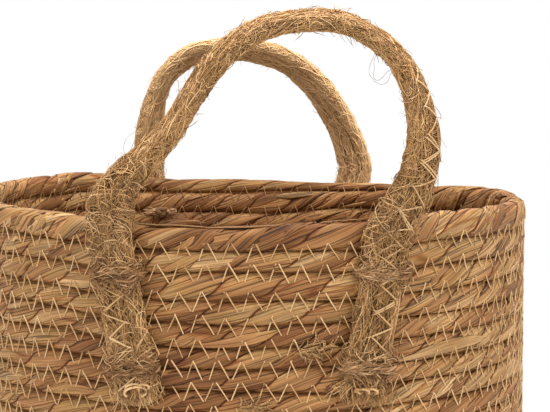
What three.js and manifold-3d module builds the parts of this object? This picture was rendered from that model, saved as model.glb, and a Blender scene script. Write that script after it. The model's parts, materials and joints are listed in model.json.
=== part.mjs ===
// Round coiled seagrass basket with two jute handles.
// Millimetres, +Z up. The origin is on the basket's axis, on the surface that it stands on.
// The near handle is at -Y, the far handle at +Y.

import * as THREE from "three";
import { mergeVertices } from "three/addons/utils/BufferGeometryUtils.js";
import Module from "manifold-3d";

const wasm = await Module();
wasm.setup();

// Basket: one seagrass rope, wound as a flat spiral for the base and then up the wall
const basketRadius = 166; // from the axis to the middle of the wall's rope
const basketHeight = 252.3; // to the top of the rope's last row where it ends, if it stayed thick
const bottomBend = 22; // bend between base and wall, to the middle of the rope
const rowPitch = 12.4; // from one row to the next
const ropeHeight = 11.9; // along the wall
const ropeDepth = 10.4; // through the wall
const spiralStart = 6; // radius at which the base's spiral begins
const ropeEndAzimuth = 57; // where the rope stops on the rim, degrees from +X
const tailAngle = 78; // the rope is thinned out over these last degrees
const tailEnd = 0.3; // share of its height that is left at its end
const stepsPerTurn = 20;

// Handles: a flat band of three jute cords that lie side by side
const cordDiameter = 7.4;
const cordPitch = 8; // between the middles of two cords in a band
const cordSides = 8;
const legSpreadTop = 25.3; // degrees from the handle's middle to a leg at the rim
const legSpreadBottom = 20; // the same at the leg's lower end
const legLength = 86; // below the rim
const legSupports = [1, 0.7, 0.35, 0.07]; // shares of a leg's length at which its route touches the wall
const legSteps = 8;
const archSteps = 34;
const kneeSides = 24;
const legAboveRim = 2.5; // the fixed part of a leg stops here

// Lashings: a loop of jute yarn round each leg and through the wall, knotted inside
const yarnDiameter = 3.6;
const upperLashingDepth = 24; // below the rim
const lowerLashingRise = 16; // above the leg's lower end
const lashingSides = 6;
const lashingCorner = 0.3; // share of the yarn's diameter that is cut off where it turns a corner
const knotRadius = 3.6;
const knotWidth = 10; // along the wall
const knotSides = 8;
const knotRings = 6;
const holeSides = 8;

// Clearances
const seatGap = 0.4; // between a cord and the wall
const bandGap = 0.5; // between a lashing and the cords in it
const holeGap = 0.4; // round the yarn in its hole
const kneeGap = 0.3; // between a leg's top and the arch that swings above it
const swingGap = 0.8; // left round the cords where the arch turns on its pivot
const spliceGap = 0.5; // between the base's rope and the wall's

// Arches: the rise is from the rim to the highest place on the band's middle line. The route is seen from
// outside: x to the right of the middle, as a share of the leg tops' distance from the middle, height above
// the rim as a share of the rise, and how many degrees the band has turned from lying flat on the wall to
// lying flat over the top
const nearArch = {
  rise: 107,
  route: [
    { x: -0.982, up: 0.107, turn: 0 },
    { x: -0.945, up: 0.158, turn: 8 },
    { x: -0.862, up: 0.241, turn: 32 },
    { x: -0.741, up: 0.326, turn: 56 },
    { x: -0.635, up: 0.402, turn: 66 },
    { x: -0.533, up: 0.485, turn: 70 },
    { x: -0.403, up: 0.638, turn: 69 },
    { x: -0.23, up: 0.803, turn: 69 },
    { x: -0.097, up: 0.887, turn: 70 },
    { x: 0.084, up: 0.962, turn: 73 },
    { x: 0.347, up: 1, turn: 75 },
    { x: 0.641, up: 0.993, turn: 75 },
    { x: 0.844, up: 0.928, turn: 74 },
    { x: 1.002, up: 0.841, turn: 70 },
    { x: 1.119, up: 0.726, turn: 60 },
    { x: 1.199, up: 0.564, turn: 42 },
    { x: 1.225, up: 0.448, turn: 27 },
    { x: 1.211, up: 0.331, turn: 10 },
    { x: 1.172, up: 0.214, turn: 3 },
    { x: 1.095, up: 0.107, turn: 0 },
  ],
};
const farArch = {
  rise: 97.5,
  route: [
    { x: -1.037, up: 0.117, turn: 0 },
    { x: -1.008, up: 0.185, turn: 3 },
    { x: -0.962, up: 0.309, turn: 10 },
    { x: -0.885, up: 0.443, turn: 24 },
    { x: -0.794, up: 0.563, turn: 31 },
    { x: -0.682, up: 0.695, turn: 39 },
    { x: -0.55, up: 0.801, turn: 47 },
    { x: -0.4, up: 0.89, turn: 54 },
    { x: -0.218, up: 0.954, turn: 58 },
    { x: -0.02, up: 0.988, turn: 60 },
    { x: 0.176, up: 1, turn: 60 },
    { x: 0.37, up: 0.986, turn: 62 },
    { x: 0.557, up: 0.954, turn: 64 },
    { x: 0.711, up: 0.88, turn: 66 },
    { x: 0.838, up: 0.768, turn: 66 },
    { x: 0.914, up: 0.632, turn: 60 },
    { x: 0.953, up: 0.497, turn: 44 },
    { x: 0.976, up: 0.355, turn: 22 },
    { x: 0.977, up: 0.242, turn: 7 },
    { x: 0.996, up: 0.117, turn: 0 },
  ],
};

const degree = Math.PI / 180;
const cordRadius = cordDiameter / 2;
const yarnRadius = yarnDiameter / 2;
const mergeDistance = 1e-4; // corners closer than this are one
const searchSteps = 1000; // from an end of a handle's cord to its middle

// The rope's middle line runs along the basket's outline: out along the base, round the bend, up the wall
const flatLength = basketRadius - bottomBend;
const bendLength = (bottomBend * Math.PI) / 2;
const lastRowHeight = basketHeight - ropeHeight / 2;
const wallLength = lastRowHeight - ropeDepth / 2 - bottomBend;
const outlineLength = flatLength + bendLength + wallLength;

// Where the outline is after a length of it, with its direction along and out of the wall
function outlineAt(length) {
  if (length <= flatLength) {
    return { r: length, z: ropeDepth / 2, along: [1, 0], out: [0, -1] };
  }
  const bend = Math.min((length - flatLength) / bottomBend, Math.PI / 2);
  const rise = Math.max(0, length - flatLength - bendLength);
  return {
    r: flatLength + bottomBend * Math.sin(bend),
    z: ropeDepth / 2 + bottomBend * (1 - Math.cos(bend)) + rise,
    along: [Math.cos(bend), Math.sin(bend)],
    out: [Math.sin(bend), -Math.cos(bend)],
  };
}

// The rope's section: a hexagon with a point towards each neighbouring row
const ropeSection = [
  [1, 0],
  [0.5, 1],
  [-0.5, 1],
  [-1, 0],
  [-0.5, -1],
  [0.5, -1],
];

// Corners of the rope's section in the outline's plane, where size is 1 below the thinned tail
function ropeCorners(length, size) {
  const { r, z, along, out } = outlineAt(length);
  const drop = ((1 - size) * ropeHeight) / 2;
  return ropeSection.map(([a, b]) => {
    const up = (a * ropeHeight * size) / 2 - drop;
    const side = (b * ropeDepth * Math.sqrt(size)) / 2;
    return [r + along[0] * up + out[0] * side, z + along[1] * up + out[1] * side];
  });
}

// Steps are counted back from the rope's end, so the corners of all rows stand above each other
const lengthAtStep = (back) => outlineLength - (back * rowPitch) / stepsPerTurn;
const azimuthAtStep = (back) => ropeEndAzimuth + (back * 360) / stepsPerTurn;

// Each turn is a polygon drawn round its circle, so that its flats keep the rows' full pitch
const roundOut = 1 / Math.cos(Math.PI / stepsPerTurn);

function ropeRing(back) {
  const turn = azimuthAtStep(back) * degree;
  const tailShare = (back * 360) / stepsPerTurn / tailAngle;
  const size = Math.min(1, tailEnd + (1 - tailEnd) * tailShare);
  return ropeCorners(lengthAtStep(back), size).map(
    ([r, z]) => new THREE.Vector3(r * roundOut * Math.cos(turn), r * roundOut * Math.sin(turn), z),
  );
}

// Joins rings of points into one closed skin, with a cap on each end unless the rings close on themselves
function skin(rings, closed) {
  const sides = rings[0].length;
  const points = rings.flat();
  const faces = [];
  const spans = closed ? rings.length : rings.length - 1;
  for (let i = 0; i < spans; i++) {
    for (let j = 0; j < sides; j++) {
      const a = i * sides + j;
      const b = i * sides + ((j + 1) % sides);
      const c = ((i + 1) % rings.length) * sides + j;
      const d = ((i + 1) % rings.length) * sides + ((j + 1) % sides);
      faces.push(a, b, d, a, d, c);
    }
  }
  if (!closed) {
    const last = (rings.length - 1) * sides;
    for (let j = 1; j < sides - 1; j++) {
      faces.push(0, j + 1, j, last, last + j, last + j + 1);
    }
  }
  const geometry = new THREE.BufferGeometry().setFromPoints(points);
  geometry.setIndex(faces);
  return signedVolume(points, faces) < 0 ? turnedOut(geometry) : geometry;
}

function signedVolume(points, faces) {
  let volume = 0;
  for (let i = 0; i < faces.length; i += 3) {
    const [a, b, c] = [points[faces[i]], points[faces[i + 1]], points[faces[i + 2]]];
    volume += a.dot(b.clone().cross(c)) / 6;
  }
  return volume;
}

function turnedOut(geometry) {
  const faces = Array.from(geometry.index.array);
  for (let i = 0; i < faces.length; i += 3) {
    [faces[i + 1], faces[i + 2]] = [faces[i + 2], faces[i + 1]];
  }
  geometry.setIndex(faces);
  return geometry;
}

// Round cord or yarn along a curve
function cordAlong(curve, radius, sides, steps) {
  const corners = Array.from({ length: sides }, (_, i) => {
    const turn = (i / sides) * 2 * Math.PI;
    return new THREE.Vector2(radius * Math.cos(turn), radius * Math.sin(turn));
  });
  const section = new THREE.Shape(corners);
  return new THREE.ExtrudeGeometry(section, { extrudePath: curve, steps, bevelEnabled: false });
}

// Booleans
function toSolid(geometry) {
  const bare = geometry.clone();
  bare.deleteAttribute("normal");
  bare.deleteAttribute("uv");
  const merged = mergeVertices(bare, mergeDistance);
  return new wasm.Manifold(
    new wasm.Mesh({
      numProp: 3,
      vertProperties: new Float32Array(merged.attributes.position.array),
      triVerts: new Uint32Array(merged.index.array),
    }),
  );
}

function fromSolid(solid) {
  const mesh = solid.getMesh();
  const geometry = new THREE.BufferGeometry();
  geometry.setAttribute("position", new THREE.BufferAttribute(new Float32Array(mesh.vertProperties), 3));
  geometry.setIndex(new THREE.BufferAttribute(new Uint32Array(mesh.triVerts), 1));
  return geometry;
}

// Height of the last row's top at an azimuth, as if its tail were not thinned: it drops by one pitch in a turn
function rimTop(azimuth) {
  const turns = (((azimuth - ropeEndAzimuth) / 360) % 1 + 1) % 1;
  return basketHeight - rowPitch * turns;
}

// Height of the seam between two rows that is nearest to a height
function seamNear(azimuth, height) {
  const firstSeam = rimTop(azimuth) - ropeHeight / 2 - rowPitch / 2;
  return firstSeam - rowPitch * Math.round((firstSeam - height) / rowPitch);
}

// The wall's face is flat between two corners of the polygon, so its distance from the axis varies
function faceRadius(azimuth, radius) {
  const facet = 360 / stepsPerTurn;
  const fromCorner = (((azimuth - ropeEndAzimuth) % facet) + facet) % facet;
  return radius / Math.cos((fromCorner - facet / 2) * degree);
}

const outerFace = (azimuth) => faceRadius(azimuth, basketRadius + ropeDepth / 2);
const innerFace = (azimuth) => faceRadius(azimuth, basketRadius - ropeDepth / 2);
const seatRadius = (azimuth) => outerFace(azimuth) + seatGap + cordRadius;

// A handle's own directions: right is to the right of someone who faces it from outside
function handleFrame(azimuth, arch) {
  const out = new THREE.Vector3(Math.cos(azimuth * degree), Math.sin(azimuth * degree), 0);
  const right = new THREE.Vector3(-out.y, out.x, 0);
  const up = new THREE.Vector3(0, 0, 1);
  const at = (x, away, z) =>
    right.clone().multiplyScalar(x).addScaledVector(out, away).addScaledVector(up, z);
  return { azimuth, arch, out, right, up, at };
}

const nearHandle = handleFrame(-90, nearArch);
const farHandle = handleFrame(90, farArch);

// Both handles swing at one height, which the rim below the near one gives
const rimAtHandles = rimTop(nearHandle.azimuth);
const kneeRadius = cordPitch * Math.sin(legSpreadTop * degree) + cordRadius + swingGap;
const cutReach = 4 * kneeRadius; // further from the pivot than the cords' ends that are cut there
const legTop = rimAtHandles + legAboveRim;
const pivotHeight = legTop + kneeGap + kneeRadius;
const legSeats = [-1, 1].map((side) => seatRadius(nearHandle.azimuth + side * legSpreadTop));
const pivotAway = ((legSeats[0] + legSeats[1]) / 2) * Math.cos(legSpreadTop * degree);
const seatOnCircle = basketRadius + ropeDepth / 2 + seatGap + cordRadius;
const legTopAside = seatOnCircle * Math.sin(legSpreadTop * degree);

// Leg's middle line: flat on the wall, closer to the handle's middle as it goes down.
// Across is 1 for the cord on the inner side of the band, 0 for the middle one and -1 for the outer one.
function legAzimuth(handle, side, below) {
  const spread = legSpreadTop + ((legSpreadBottom - legSpreadTop) * below) / legLength;
  return handle.azimuth + side * spread;
}

function legPoint(handle, side, across, below) {
  const middle = legAzimuth(handle, side, below);
  const azimuth = middle - (side * across * cordPitch) / (seatRadius(middle) * degree);
  const r = seatRadius(azimuth);
  return new THREE.Vector3(
    r * Math.cos(azimuth * degree),
    r * Math.sin(azimuth * degree),
    rimAtHandles - below,
  );
}

function legPoints(handle, side, across) {
  return legSupports.map((share) => legPoint(handle, side, across, share * legLength));
}

// Arch's middle line, moved sideways to the cord's place in the turning band
function archPoints(handle, across) {
  const { rise, route } = handle.arch;
  const middles = route.map(({ x, up }) => handle.at(x * legTopAside, pivotAway, rimAtHandles + up * rise));
  return route.map(({ x, turn }, i) => {
    const before = middles[Math.max(0, i - 1)];
    const after = middles[Math.min(middles.length - 1, i + 1)];
    const along = after.clone().sub(before).normalize();
    const aside = (x * legTopAside) / basketRadius;
    const wallOut = handle.at(aside, Math.sqrt(1 - aside ** 2), 0);
    wallOut.addScaledVector(along, -wallOut.dot(along)).normalize();
    const archOut = handle.out.clone().cross(along).normalize();
    const face = wallOut
      .multiplyScalar(Math.cos(turn * degree))
      .addScaledVector(archOut, Math.sin(turn * degree));
    const sideways = along.clone().cross(face).normalize();
    return middles[i].clone().addScaledVector(sideways, across * cordPitch);
  });
}

// One cord of a handle from the lower end of its left leg, over the arch, to the lower end of its right leg
function cordCurve(handle, across) {
  const left = legPoints(handle, -1, across);
  const right = legPoints(handle, 1, across).reverse();
  const route = [...left, ...archPoints(handle, across), ...right];
  return new THREE.CatmullRomCurve3(route, false, "centripetal");
}

// A stretch of a longer curve, between two shares of its length
class Stretch extends THREE.Curve {
  constructor(whole, from, to) {
    super();
    this.whole = whole;
    this.from = from;
    this.to = to;
  }
  getPoint(share, target = new THREE.Vector3()) {
    return this.whole.getPointAt(this.from + (this.to - this.from) * share, target);
  }
}

// The share of a curve's length at which it first rises past a height, looked for from one end to its middle
function shareAtHeight(curve, height, fromEnd) {
  let step = 0;
  let share = fromEnd ? 1 : 0;
  while (step < searchSteps && curve.getPointAt(share).z <= height) {
    step += 1;
    share = fromEnd ? 1 - step / searchSteps / 2 : step / searchSteps / 2;
  }
  return share;
}

// Tools that cut the arch's feet round about the pivot and the legs' tops flat below them
function boxBetween(low, high) {
  const size = high.clone().sub(low);
  const box = new THREE.BoxGeometry(size.x, size.y, size.z);
  return box.translate((low.x + high.x) / 2, (low.y + high.y) / 2, (low.z + high.z) / 2);
}

function kneeTools(handle) {
  const outward = handle.out.y * pivotAway;
  const below = boxBetween(
    new THREE.Vector3(-basketRadius, outward - cutReach, pivotHeight - cutReach),
    new THREE.Vector3(basketRadius, outward + cutReach, pivotHeight),
  );
  const knee = new THREE.CylinderGeometry(kneeRadius, kneeRadius, 2 * basketRadius, kneeSides);
  knee.rotateZ(Math.PI / 2).translate(0, outward, pivotHeight);
  const aboveLegs = boxBetween(
    new THREE.Vector3(-basketRadius, outward - cutReach, legTop),
    new THREE.Vector3(basketRadius, outward + cutReach, legTop + cutReach),
  );
  return { underArch: toSolid(below).subtract(toSolid(knee)), aboveLegs: toSolid(aboveLegs) };
}

// Lashing: where its yarn runs, in millimetres along the wall and out from the basket's axis
function lashingPlan(handle, side, depth) {
  const middle = legAzimuth(handle, side, depth);
  const seam = seamNear(middle, rimAtHandles - depth);
  const azimuthAt = (sideways) => middle + sideways / (basketRadius * degree);
  const heightAt = (azimuth) => seam - (rowPitch * (azimuth - middle)) / 360;
  const halfWidth = cordPitch + cordRadius + bandGap + yarnRadius;
  const places = [-1, 0, 1].map((across) => azimuthAt(across * cordPitch));
  const over = Math.max(...places.map(seatRadius)) + cordRadius + bandGap + yarnRadius;
  const ends = [-halfWidth, 0, halfWidth].map(azimuthAt);
  const inside = Math.min(...ends.map(innerFace)) - seatGap - yarnRadius;
  return { azimuthAt, heightAt, halfWidth, over, inside };
}

function lashing(handle, side, depth) {
  const plan = lashingPlan(handle, side, depth);
  const { halfWidth: w, over, inside } = plan;
  const c = yarnDiameter;
  const cut = lashingCorner * c;
  const rightHalf = [
    [cordPitch / 2, over],
    [w - c, over],
    [w - cut, over - cut],
    [w, over - c],
    [w, (over + inside) / 2],
    [w, inside + c],
    [w - cut, inside + cut],
    [w - c, inside],
  ];
  const leftHalf = rightHalf.map(([x, r]) => [-x, r]).reverse();
  const route = [...rightHalf, ...leftHalf].map(([x, r]) => {
    const azimuth = plan.azimuthAt(x);
    const turn = azimuth * degree;
    return new THREE.Vector3(r * Math.cos(turn), r * Math.sin(turn), plan.heightAt(azimuth));
  });
  const up = new THREE.Vector3(0, 0, 1);
  const rings = route.map((point, i) => {
    const before = route[(i + route.length - 1) % route.length];
    const after = route[(i + 1) % route.length];
    const into = point.clone().sub(before).normalize();
    const on = after.clone().sub(point).normalize();
    const along = into.add(on).normalize();
    const across = along.clone().cross(up).normalize();
    const widen = 1 / along.dot(on);
    return Array.from({ length: lashingSides }, (_, j) => {
      const turn = (j / lashingSides) * 2 * Math.PI;
      return point
        .clone()
        .addScaledVector(across, yarnRadius * widen * Math.cos(turn))
        .addScaledVector(up, yarnRadius * Math.sin(turn));
    });
  });
  return toSolid(skin(rings, true)).add(toSolid(knotOf(plan)));
}

// The yarn's knot, inside the wall at the middle of the lashing
function knotOf({ azimuthAt, heightAt, inside }) {
  const azimuth = azimuthAt(0);
  const knot = new THREE.SphereGeometry(knotRadius, knotSides, knotRings);
  knot.scale(1, knotWidth / (2 * knotRadius), 1);
  knot.translate(inside + yarnRadius - knotRadius, 0, heightAt(azimuth));
  return knot.rotateZ(azimuth * degree);
}

// The holes that a lashing's yarn passes through, between two rows of the wall
function lashingHoles(handle, side, depth) {
  const plan = lashingPlan(handle, side, depth);
  const radius = yarnRadius + holeGap;
  const throughWall = 3 * ropeDepth;
  return [-plan.halfWidth, plan.halfWidth].map((x) => {
    const azimuth = plan.azimuthAt(x);
    const hole = new THREE.CylinderGeometry(radius, radius, throughWall, holeSides);
    hole.rotateZ(Math.PI / 2).translate(basketRadius, 0, plan.heightAt(azimuth));
    return toSolid(hole.rotateZ(azimuth * degree));
  });
}

// Materials: the colours of the dry fibres
const seagrass = () => new THREE.MeshStandardMaterial({ color: "#a57c53", roughness: 0.75, metalness: 0 });
const jute = () => new THREE.MeshStandardMaterial({ color: "#b28b5e", roughness: 0.9, metalness: 0 });
const yarn = () => new THREE.MeshStandardMaterial({ color: "#c3a07a", roughness: 0.9, metalness: 0 });

const basket = new THREE.Group();

function addPiece(name, geometry, material) {
  const piece = new THREE.Mesh(geometry, material);
  piece.name = name;
  basket.add(piece);
}

// Names of the pieces of a handle
const handles = { near_handle: nearHandle, far_handle: farHandle };
const sides = { left: -1, right: 1 };
const cords = { inner: 1, middle: 0, outer: -1 };
const levels = { upper: upperLashingDepth, lower: legLength - lowerLashingRise };

// Base and wall
const stepsBack = (length) => ((outlineLength - length) * stepsPerTurn) / rowPitch;
const firstStep = Math.floor(stepsBack(spiralStart));
const spliceStep = Math.ceil(stepsBack(flatLength));
const ropeRings = (from, to) => Array.from({ length: from - to + 1 }, (_, i) => ropeRing(from - i));

function baseCoil() {
  const rings = ropeRings(firstStep, spliceStep);
  const [before, last] = rings.slice(-2);
  const stepLength = before[0].distanceTo(last[0]);
  const shortened = last.map((point, i) => point.clone().lerp(before[i], spliceGap / stepLength));
  return skin([...rings.slice(0, -1), shortened], false);
}

function wallCoil() {
  let wall = toSolid(skin(ropeRings(spliceStep, 0), false));
  for (const handle of Object.values(handles)) {
    for (const side of Object.values(sides)) {
      for (const depth of Object.values(levels)) {
        for (const hole of lashingHoles(handle, side, depth)) {
          wall = wall.subtract(hole);
        }
      }
    }
  }
  return fromSolid(wall);
}

// Least gap between two rows, from points along the edges of the sections of rope one turn apart
function pointsAlongSection(back) {
  const corners = ropeCorners(lengthAtStep(back), 1);
  return corners.flatMap(([r, z], i) => {
    const [nextR, nextZ] = corners[(i + 1) % corners.length];
    return [0, 0.25, 0.5, 0.75].map((share) => [r + (nextR - r) * share, z + (nextZ - z) * share]);
  });
}

function leastRowGap() {
  let least = Infinity;
  for (let back = 0; back + stepsPerTurn <= firstStep; back++) {
    const below = pointsAlongSection(back + stepsPerTurn);
    for (const [r, z] of pointsAlongSection(back)) {
      for (const [otherR, otherZ] of below) {
        least = Math.min(least, Math.hypot(r - otherR, z - otherZ));
      }
    }
  }
  return least;
}

addPiece("base_coil", baseCoil(), seagrass());
addPiece("wall_coil", wallCoil(), seagrass());

// Handles
for (const [handleName, handle] of Object.entries(handles)) {
  const { underArch, aboveLegs } = kneeTools(handle);
  for (const [cordName, across] of Object.entries(cords)) {
    const whole = cordCurve(handle, across);
    const foot = legTop - kneeRadius;
    const left = shareAtHeight(whole, foot, false);
    const right = shareAtHeight(whole, foot, true);
    const arch = cordAlong(new Stretch(whole, left, right), cordRadius, cordSides, archSteps);
    addPiece(`${handleName}_${cordName}_cord`, fromSolid(toSolid(arch).subtract(underArch)), jute());
    for (const sideName of Object.keys(sides)) {
      const isRight = sideName === "right";
      const top = shareAtHeight(whole, pivotHeight, isRight);
      const stretch = isRight ? new Stretch(whole, 1, top) : new Stretch(whole, 0, top);
      const leg = toSolid(cordAlong(stretch, cordRadius, cordSides, legSteps)).subtract(aboveLegs);
      addPiece(`${handleName}_${sideName}_leg_${cordName}_cord`, fromSolid(leg), jute());
    }
  }
  for (const [sideName, side] of Object.entries(sides)) {
    for (const [level, depth] of Object.entries(levels)) {
      const name = `${handleName}_${sideName}_${level}_lashing`;
      addPiece(name, fromSolid(lashing(handle, side, depth)), yarn());
    }
  }
}

// What the record states, in millimetres from the axis and above the floor
const turns = (firstStep - spliceStep) / stepsPerTurn;
console.log(`base ${turns.toFixed(2)} turns, wall ${(spliceStep / stepsPerTurn).toFixed(2)} turns`);
console.log(`least gap between rows ${leastRowGap().toFixed(2)} mm`);
console.log(`handle pivots ${pivotAway.toFixed(2)} mm out, ${pivotHeight.toFixed(2)} mm up`);
console.log(`rim at the near handle ${rimAtHandles.toFixed(2)} mm up, legs end ${legTop.toFixed(2)} mm up`);

export default basket;
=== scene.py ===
import json
import math

import bpy
import numpy as np
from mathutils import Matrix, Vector


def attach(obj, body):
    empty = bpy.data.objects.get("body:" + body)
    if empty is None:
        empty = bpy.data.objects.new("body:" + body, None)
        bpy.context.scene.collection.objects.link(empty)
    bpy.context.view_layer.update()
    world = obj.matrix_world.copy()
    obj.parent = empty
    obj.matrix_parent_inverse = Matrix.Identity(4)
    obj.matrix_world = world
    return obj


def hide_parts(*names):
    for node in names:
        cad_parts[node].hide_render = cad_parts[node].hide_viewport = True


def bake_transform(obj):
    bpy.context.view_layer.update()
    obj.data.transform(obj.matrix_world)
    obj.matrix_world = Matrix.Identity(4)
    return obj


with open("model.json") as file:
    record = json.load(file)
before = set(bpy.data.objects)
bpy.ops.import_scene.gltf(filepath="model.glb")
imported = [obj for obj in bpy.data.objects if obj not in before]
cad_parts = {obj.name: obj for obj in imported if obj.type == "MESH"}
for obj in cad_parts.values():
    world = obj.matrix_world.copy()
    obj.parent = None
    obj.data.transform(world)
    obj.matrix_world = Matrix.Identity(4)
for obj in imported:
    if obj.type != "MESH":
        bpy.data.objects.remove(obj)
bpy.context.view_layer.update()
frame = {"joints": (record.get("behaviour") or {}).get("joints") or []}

bpy.ops.object.select_all(action="DESELECT")

mm = 0.001  # every size below is in millimetres, and meshes are made in metres

# The basket as it was sewn: one rope, wound as a flat spiral and then up the wall
basket = {
    "radius": 166,  # from the axis to the middle of the wall's rope
    "height": 252.3,
    "bottomBend": 22,  # the rounded edge at the foot
    "rowPitch": 12.4,
    "ropeHeight": 11.9,
    "ropeDepth": 10.4,
    "spiralStart": 6,  # radius at which the base begins
    "ropeEndAzimuth": 57,
}
flatLength = basket["radius"] - basket["bottomBend"]
bendLength = basket["bottomBend"] * math.pi / 2
wallLength = basket["height"] - basket["ropeHeight"] / 2 - basket["ropeDepth"] / 2 - basket["bottomBend"]
outlineLength = flatLength + bendLength + wallLength
turnsAll = (outlineLength - basket["spiralStart"]) / basket["rowPitch"]
turnsWall = (outlineLength - flatLength) / basket["rowPitch"]
rimAtHandles = basket["height"] - basket["rowPitch"] * ((-90 - basket["ropeEndAzimuth"]) / 360 % 1)


def outlineAt(length):
    # radius, height and lean of the basket's outline, out along the base, round the bend and up the wall
    lean = np.clip((length - flatLength) / basket["bottomBend"], 0, math.pi / 2)
    rise = np.maximum(0, length - flatLength - bendLength)
    radius = np.minimum(length, flatLength) + basket["bottomBend"] * np.sin(lean)
    height = basket["ropeDepth"] / 2 + basket["bottomBend"] * (1 - np.cos(lean)) + rise
    return radius, height, lean


# Hand sewing leaves the wall a little uneven, and all that is fixed to it follows
handMade = {
    "seed": 11,
    "radial": 2.9, "upright": 1.95,  # size of the waves out of the wall and along it
    "waves": 14, "perTurn": (2, 15), "climb": 0.05,
    "setsIn": 60,  # length above the flat base over which they grow to that size
}
wavesRandom = np.random.default_rng(handMade["seed"])
waveTurns = wavesRandom.integers(*handMade["perTurn"], handMade["waves"])
waveRise = wavesRandom.uniform(-handMade["climb"], handMade["climb"], handMade["waves"])
wavePhase = wavesRandom.uniform(0, 2 * math.pi, (2, handMade["waves"]))


def unevenness(azimuth, length):
    # shift out of the wall and along it, none on the base, which lies flat
    angle = np.asarray(azimuth)[..., None] * waveTurns + np.asarray(length)[..., None] * waveRise
    size = 1 / np.sqrt(waveTurns)
    onWall = np.clip((np.asarray(length) - flatLength) / handMade["setsIn"], 0, 1)
    out = (np.sin(angle + wavePhase[0]) * size).mean(-1) * handMade["radial"] * onWall
    up = (np.sin(angle + wavePhase[1]) * size).mean(-1) * handMade["upright"] * onWall
    return out, up


def onBasket(azimuth, length, out, up=0.0):
    # a point of the basket: azimuth in radians, length along the outline, then out of and up along the wall
    radius, height, lean = outlineAt(length)
    shiftOut, shiftUp = unevenness(azimuth, length)
    out = out + shiftOut
    up = up + shiftUp
    r = radius + out * np.sin(lean) + up * np.cos(lean)
    z = height - out * np.cos(lean) + up * np.sin(lean)
    return np.stack([r * np.cos(azimuth), r * np.sin(azimuth), z], -1)


# Colours are written as sRGB hex
def colour(text):
    channels = [int(text[i:i + 2], 16) / 255 for i in (1, 3, 5)]
    return [c / 12.92 if c <= 0.04045 else ((c + 0.055) / 1.055) ** 2.4 for c in channels] + [1]


def fillInputs(tree, node, inputs):
    # sets or links a node's inputs, given by name or in their order
    for key, value in inputs.items() if isinstance(inputs, dict) else enumerate(inputs):
        if isinstance(value, bpy.types.Node):
            value = value.outputs[0]
        if isinstance(value, bpy.types.NodeSocket):
            tree.links.new(value, node.inputs[key])
        else:
            node.inputs[key].default_value = value


def addNode(material, kind, inputs=(), stops=(), **settings):
    # adds a node with its settings and links, and the colours of a ramp
    node = material.node_tree.nodes.new("ShaderNode" + kind)
    for key, value in settings.items():
        setattr(node, key, value)
    for i in range(2, len(stops)):
        node.color_ramp.elements.new(0.5)
    for i, (place, text) in enumerate(stops):
        node.color_ramp.elements[i].position = place
        node.color_ramp.elements[i].color = colour(text)
    fillInputs(material.node_tree, node, inputs)
    return node


def newMaterial(name):
    material = bpy.data.materials.new(name)
    material.use_nodes = True
    return material


def setSurface(material, inputs):
    # links the pattern to the shader, and sets on the shader itself what is the same all over
    fillInputs(material.node_tree, material.node_tree.nodes["Principled BSDF"], inputs)


def drawnOut(length, width):
    # scale of a pattern that is stretched along the fibre, from its length and width in millimetres
    return 1 / length, 1 / width, 1


# Meshes
def meshPiece(name, points, quads, triangles, uvs, material):
    # uvs holds the corner coordinates of each UV map, quads first and then triangles
    mesh = bpy.data.meshes.new(name)
    quads = np.asarray(quads, dtype=np.int32).reshape(-1, 4)
    triangles = np.asarray(triangles, dtype=np.int32).reshape(-1, 3)
    corners = np.concatenate([quads.ravel(), triangles.ravel()])
    starts = np.concatenate([np.arange(len(quads)) * 4, len(quads) * 4 + np.arange(len(triangles)) * 3])
    totals = np.concatenate([np.full(len(quads), 4), np.full(len(triangles), 3)])
    mesh.vertices.add(len(points))
    mesh.loops.add(len(corners))
    mesh.polygons.add(len(starts))
    mesh.vertices.foreach_set("co", (np.asarray(points) * mm).astype(np.float32).ravel())
    mesh.loops.foreach_set("vertex_index", corners.astype(np.int32))
    mesh.polygons.foreach_set("loop_start", starts.astype(np.int32))
    mesh.polygons.foreach_set("loop_total", totals.astype(np.int32))
    mesh.update(calc_edges=True)
    for mapName, values in uvs.items():
        layer = mesh.uv_layers.new(name=mapName)
        layer.data.foreach_set("uv", np.asarray(values, dtype=np.float32).ravel())
    mesh.validate()
    mesh.shade_smooth()
    mesh.materials.append(material)
    piece = bpy.data.objects.new(name, mesh)
    bpy.context.scene.collection.objects.link(piece)
    return piece


def tubeFaces(rings, sides):
    # faces of one tube of rings, with a fan of triangles at each end about its first corner
    i, j = np.meshgrid(np.arange(rings - 1), np.arange(sides), indexing="ij")
    i, j = i.ravel(), j.ravel()
    k = (j + 1) % sides
    quads = np.stack([i * sides + j, i * sides + k, (i + 1) * sides + k, (i + 1) * sides + j], -1)
    fan = np.arange(1, sides - 1)
    first = np.stack([np.zeros_like(fan), fan + 1, fan], -1)
    last = np.stack([np.zeros_like(fan), fan, fan + 1], -1) + (rings - 1) * sides
    corners = np.stack([np.stack([i, j], -1), np.stack([i, j + 1], -1),
                        np.stack([i + 1, j + 1], -1), np.stack([i + 1, j], -1)], 1)
    return quads, np.concatenate([first, last]), corners


def tubes(name, rings, material, uvs):
    # rings is tubes × rings × sides × 3, and each UV map gives a pair for each ring and column
    count, length, sides = rings.shape[:3]
    quads, ends, corners = tubeFaces(length, sides)
    offsets = (np.arange(count) * length * sides)[:, None, None]
    allQuads = (quads[None] + offsets).reshape(-1, 4)
    allEnds = (ends[None] + offsets).reshape(-1, 3)
    corner = {}
    for mapName, uv in uvs.items():
        quadUv = uv[:, corners[..., 0], corners[..., 1]].reshape(-1, 2)
        endUv = uv[:, ends // sides, ends % sides].reshape(-1, 2)
        corner[mapName] = np.concatenate([quadUv, endUv])
    return meshPiece(name, rings.reshape(-1, 3), allQuads, allEnds, corner, material)


def unit(vectors):
    return vectors / np.maximum(np.linalg.norm(vectors, axis=-1, keepdims=True), 1e-9)


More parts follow.
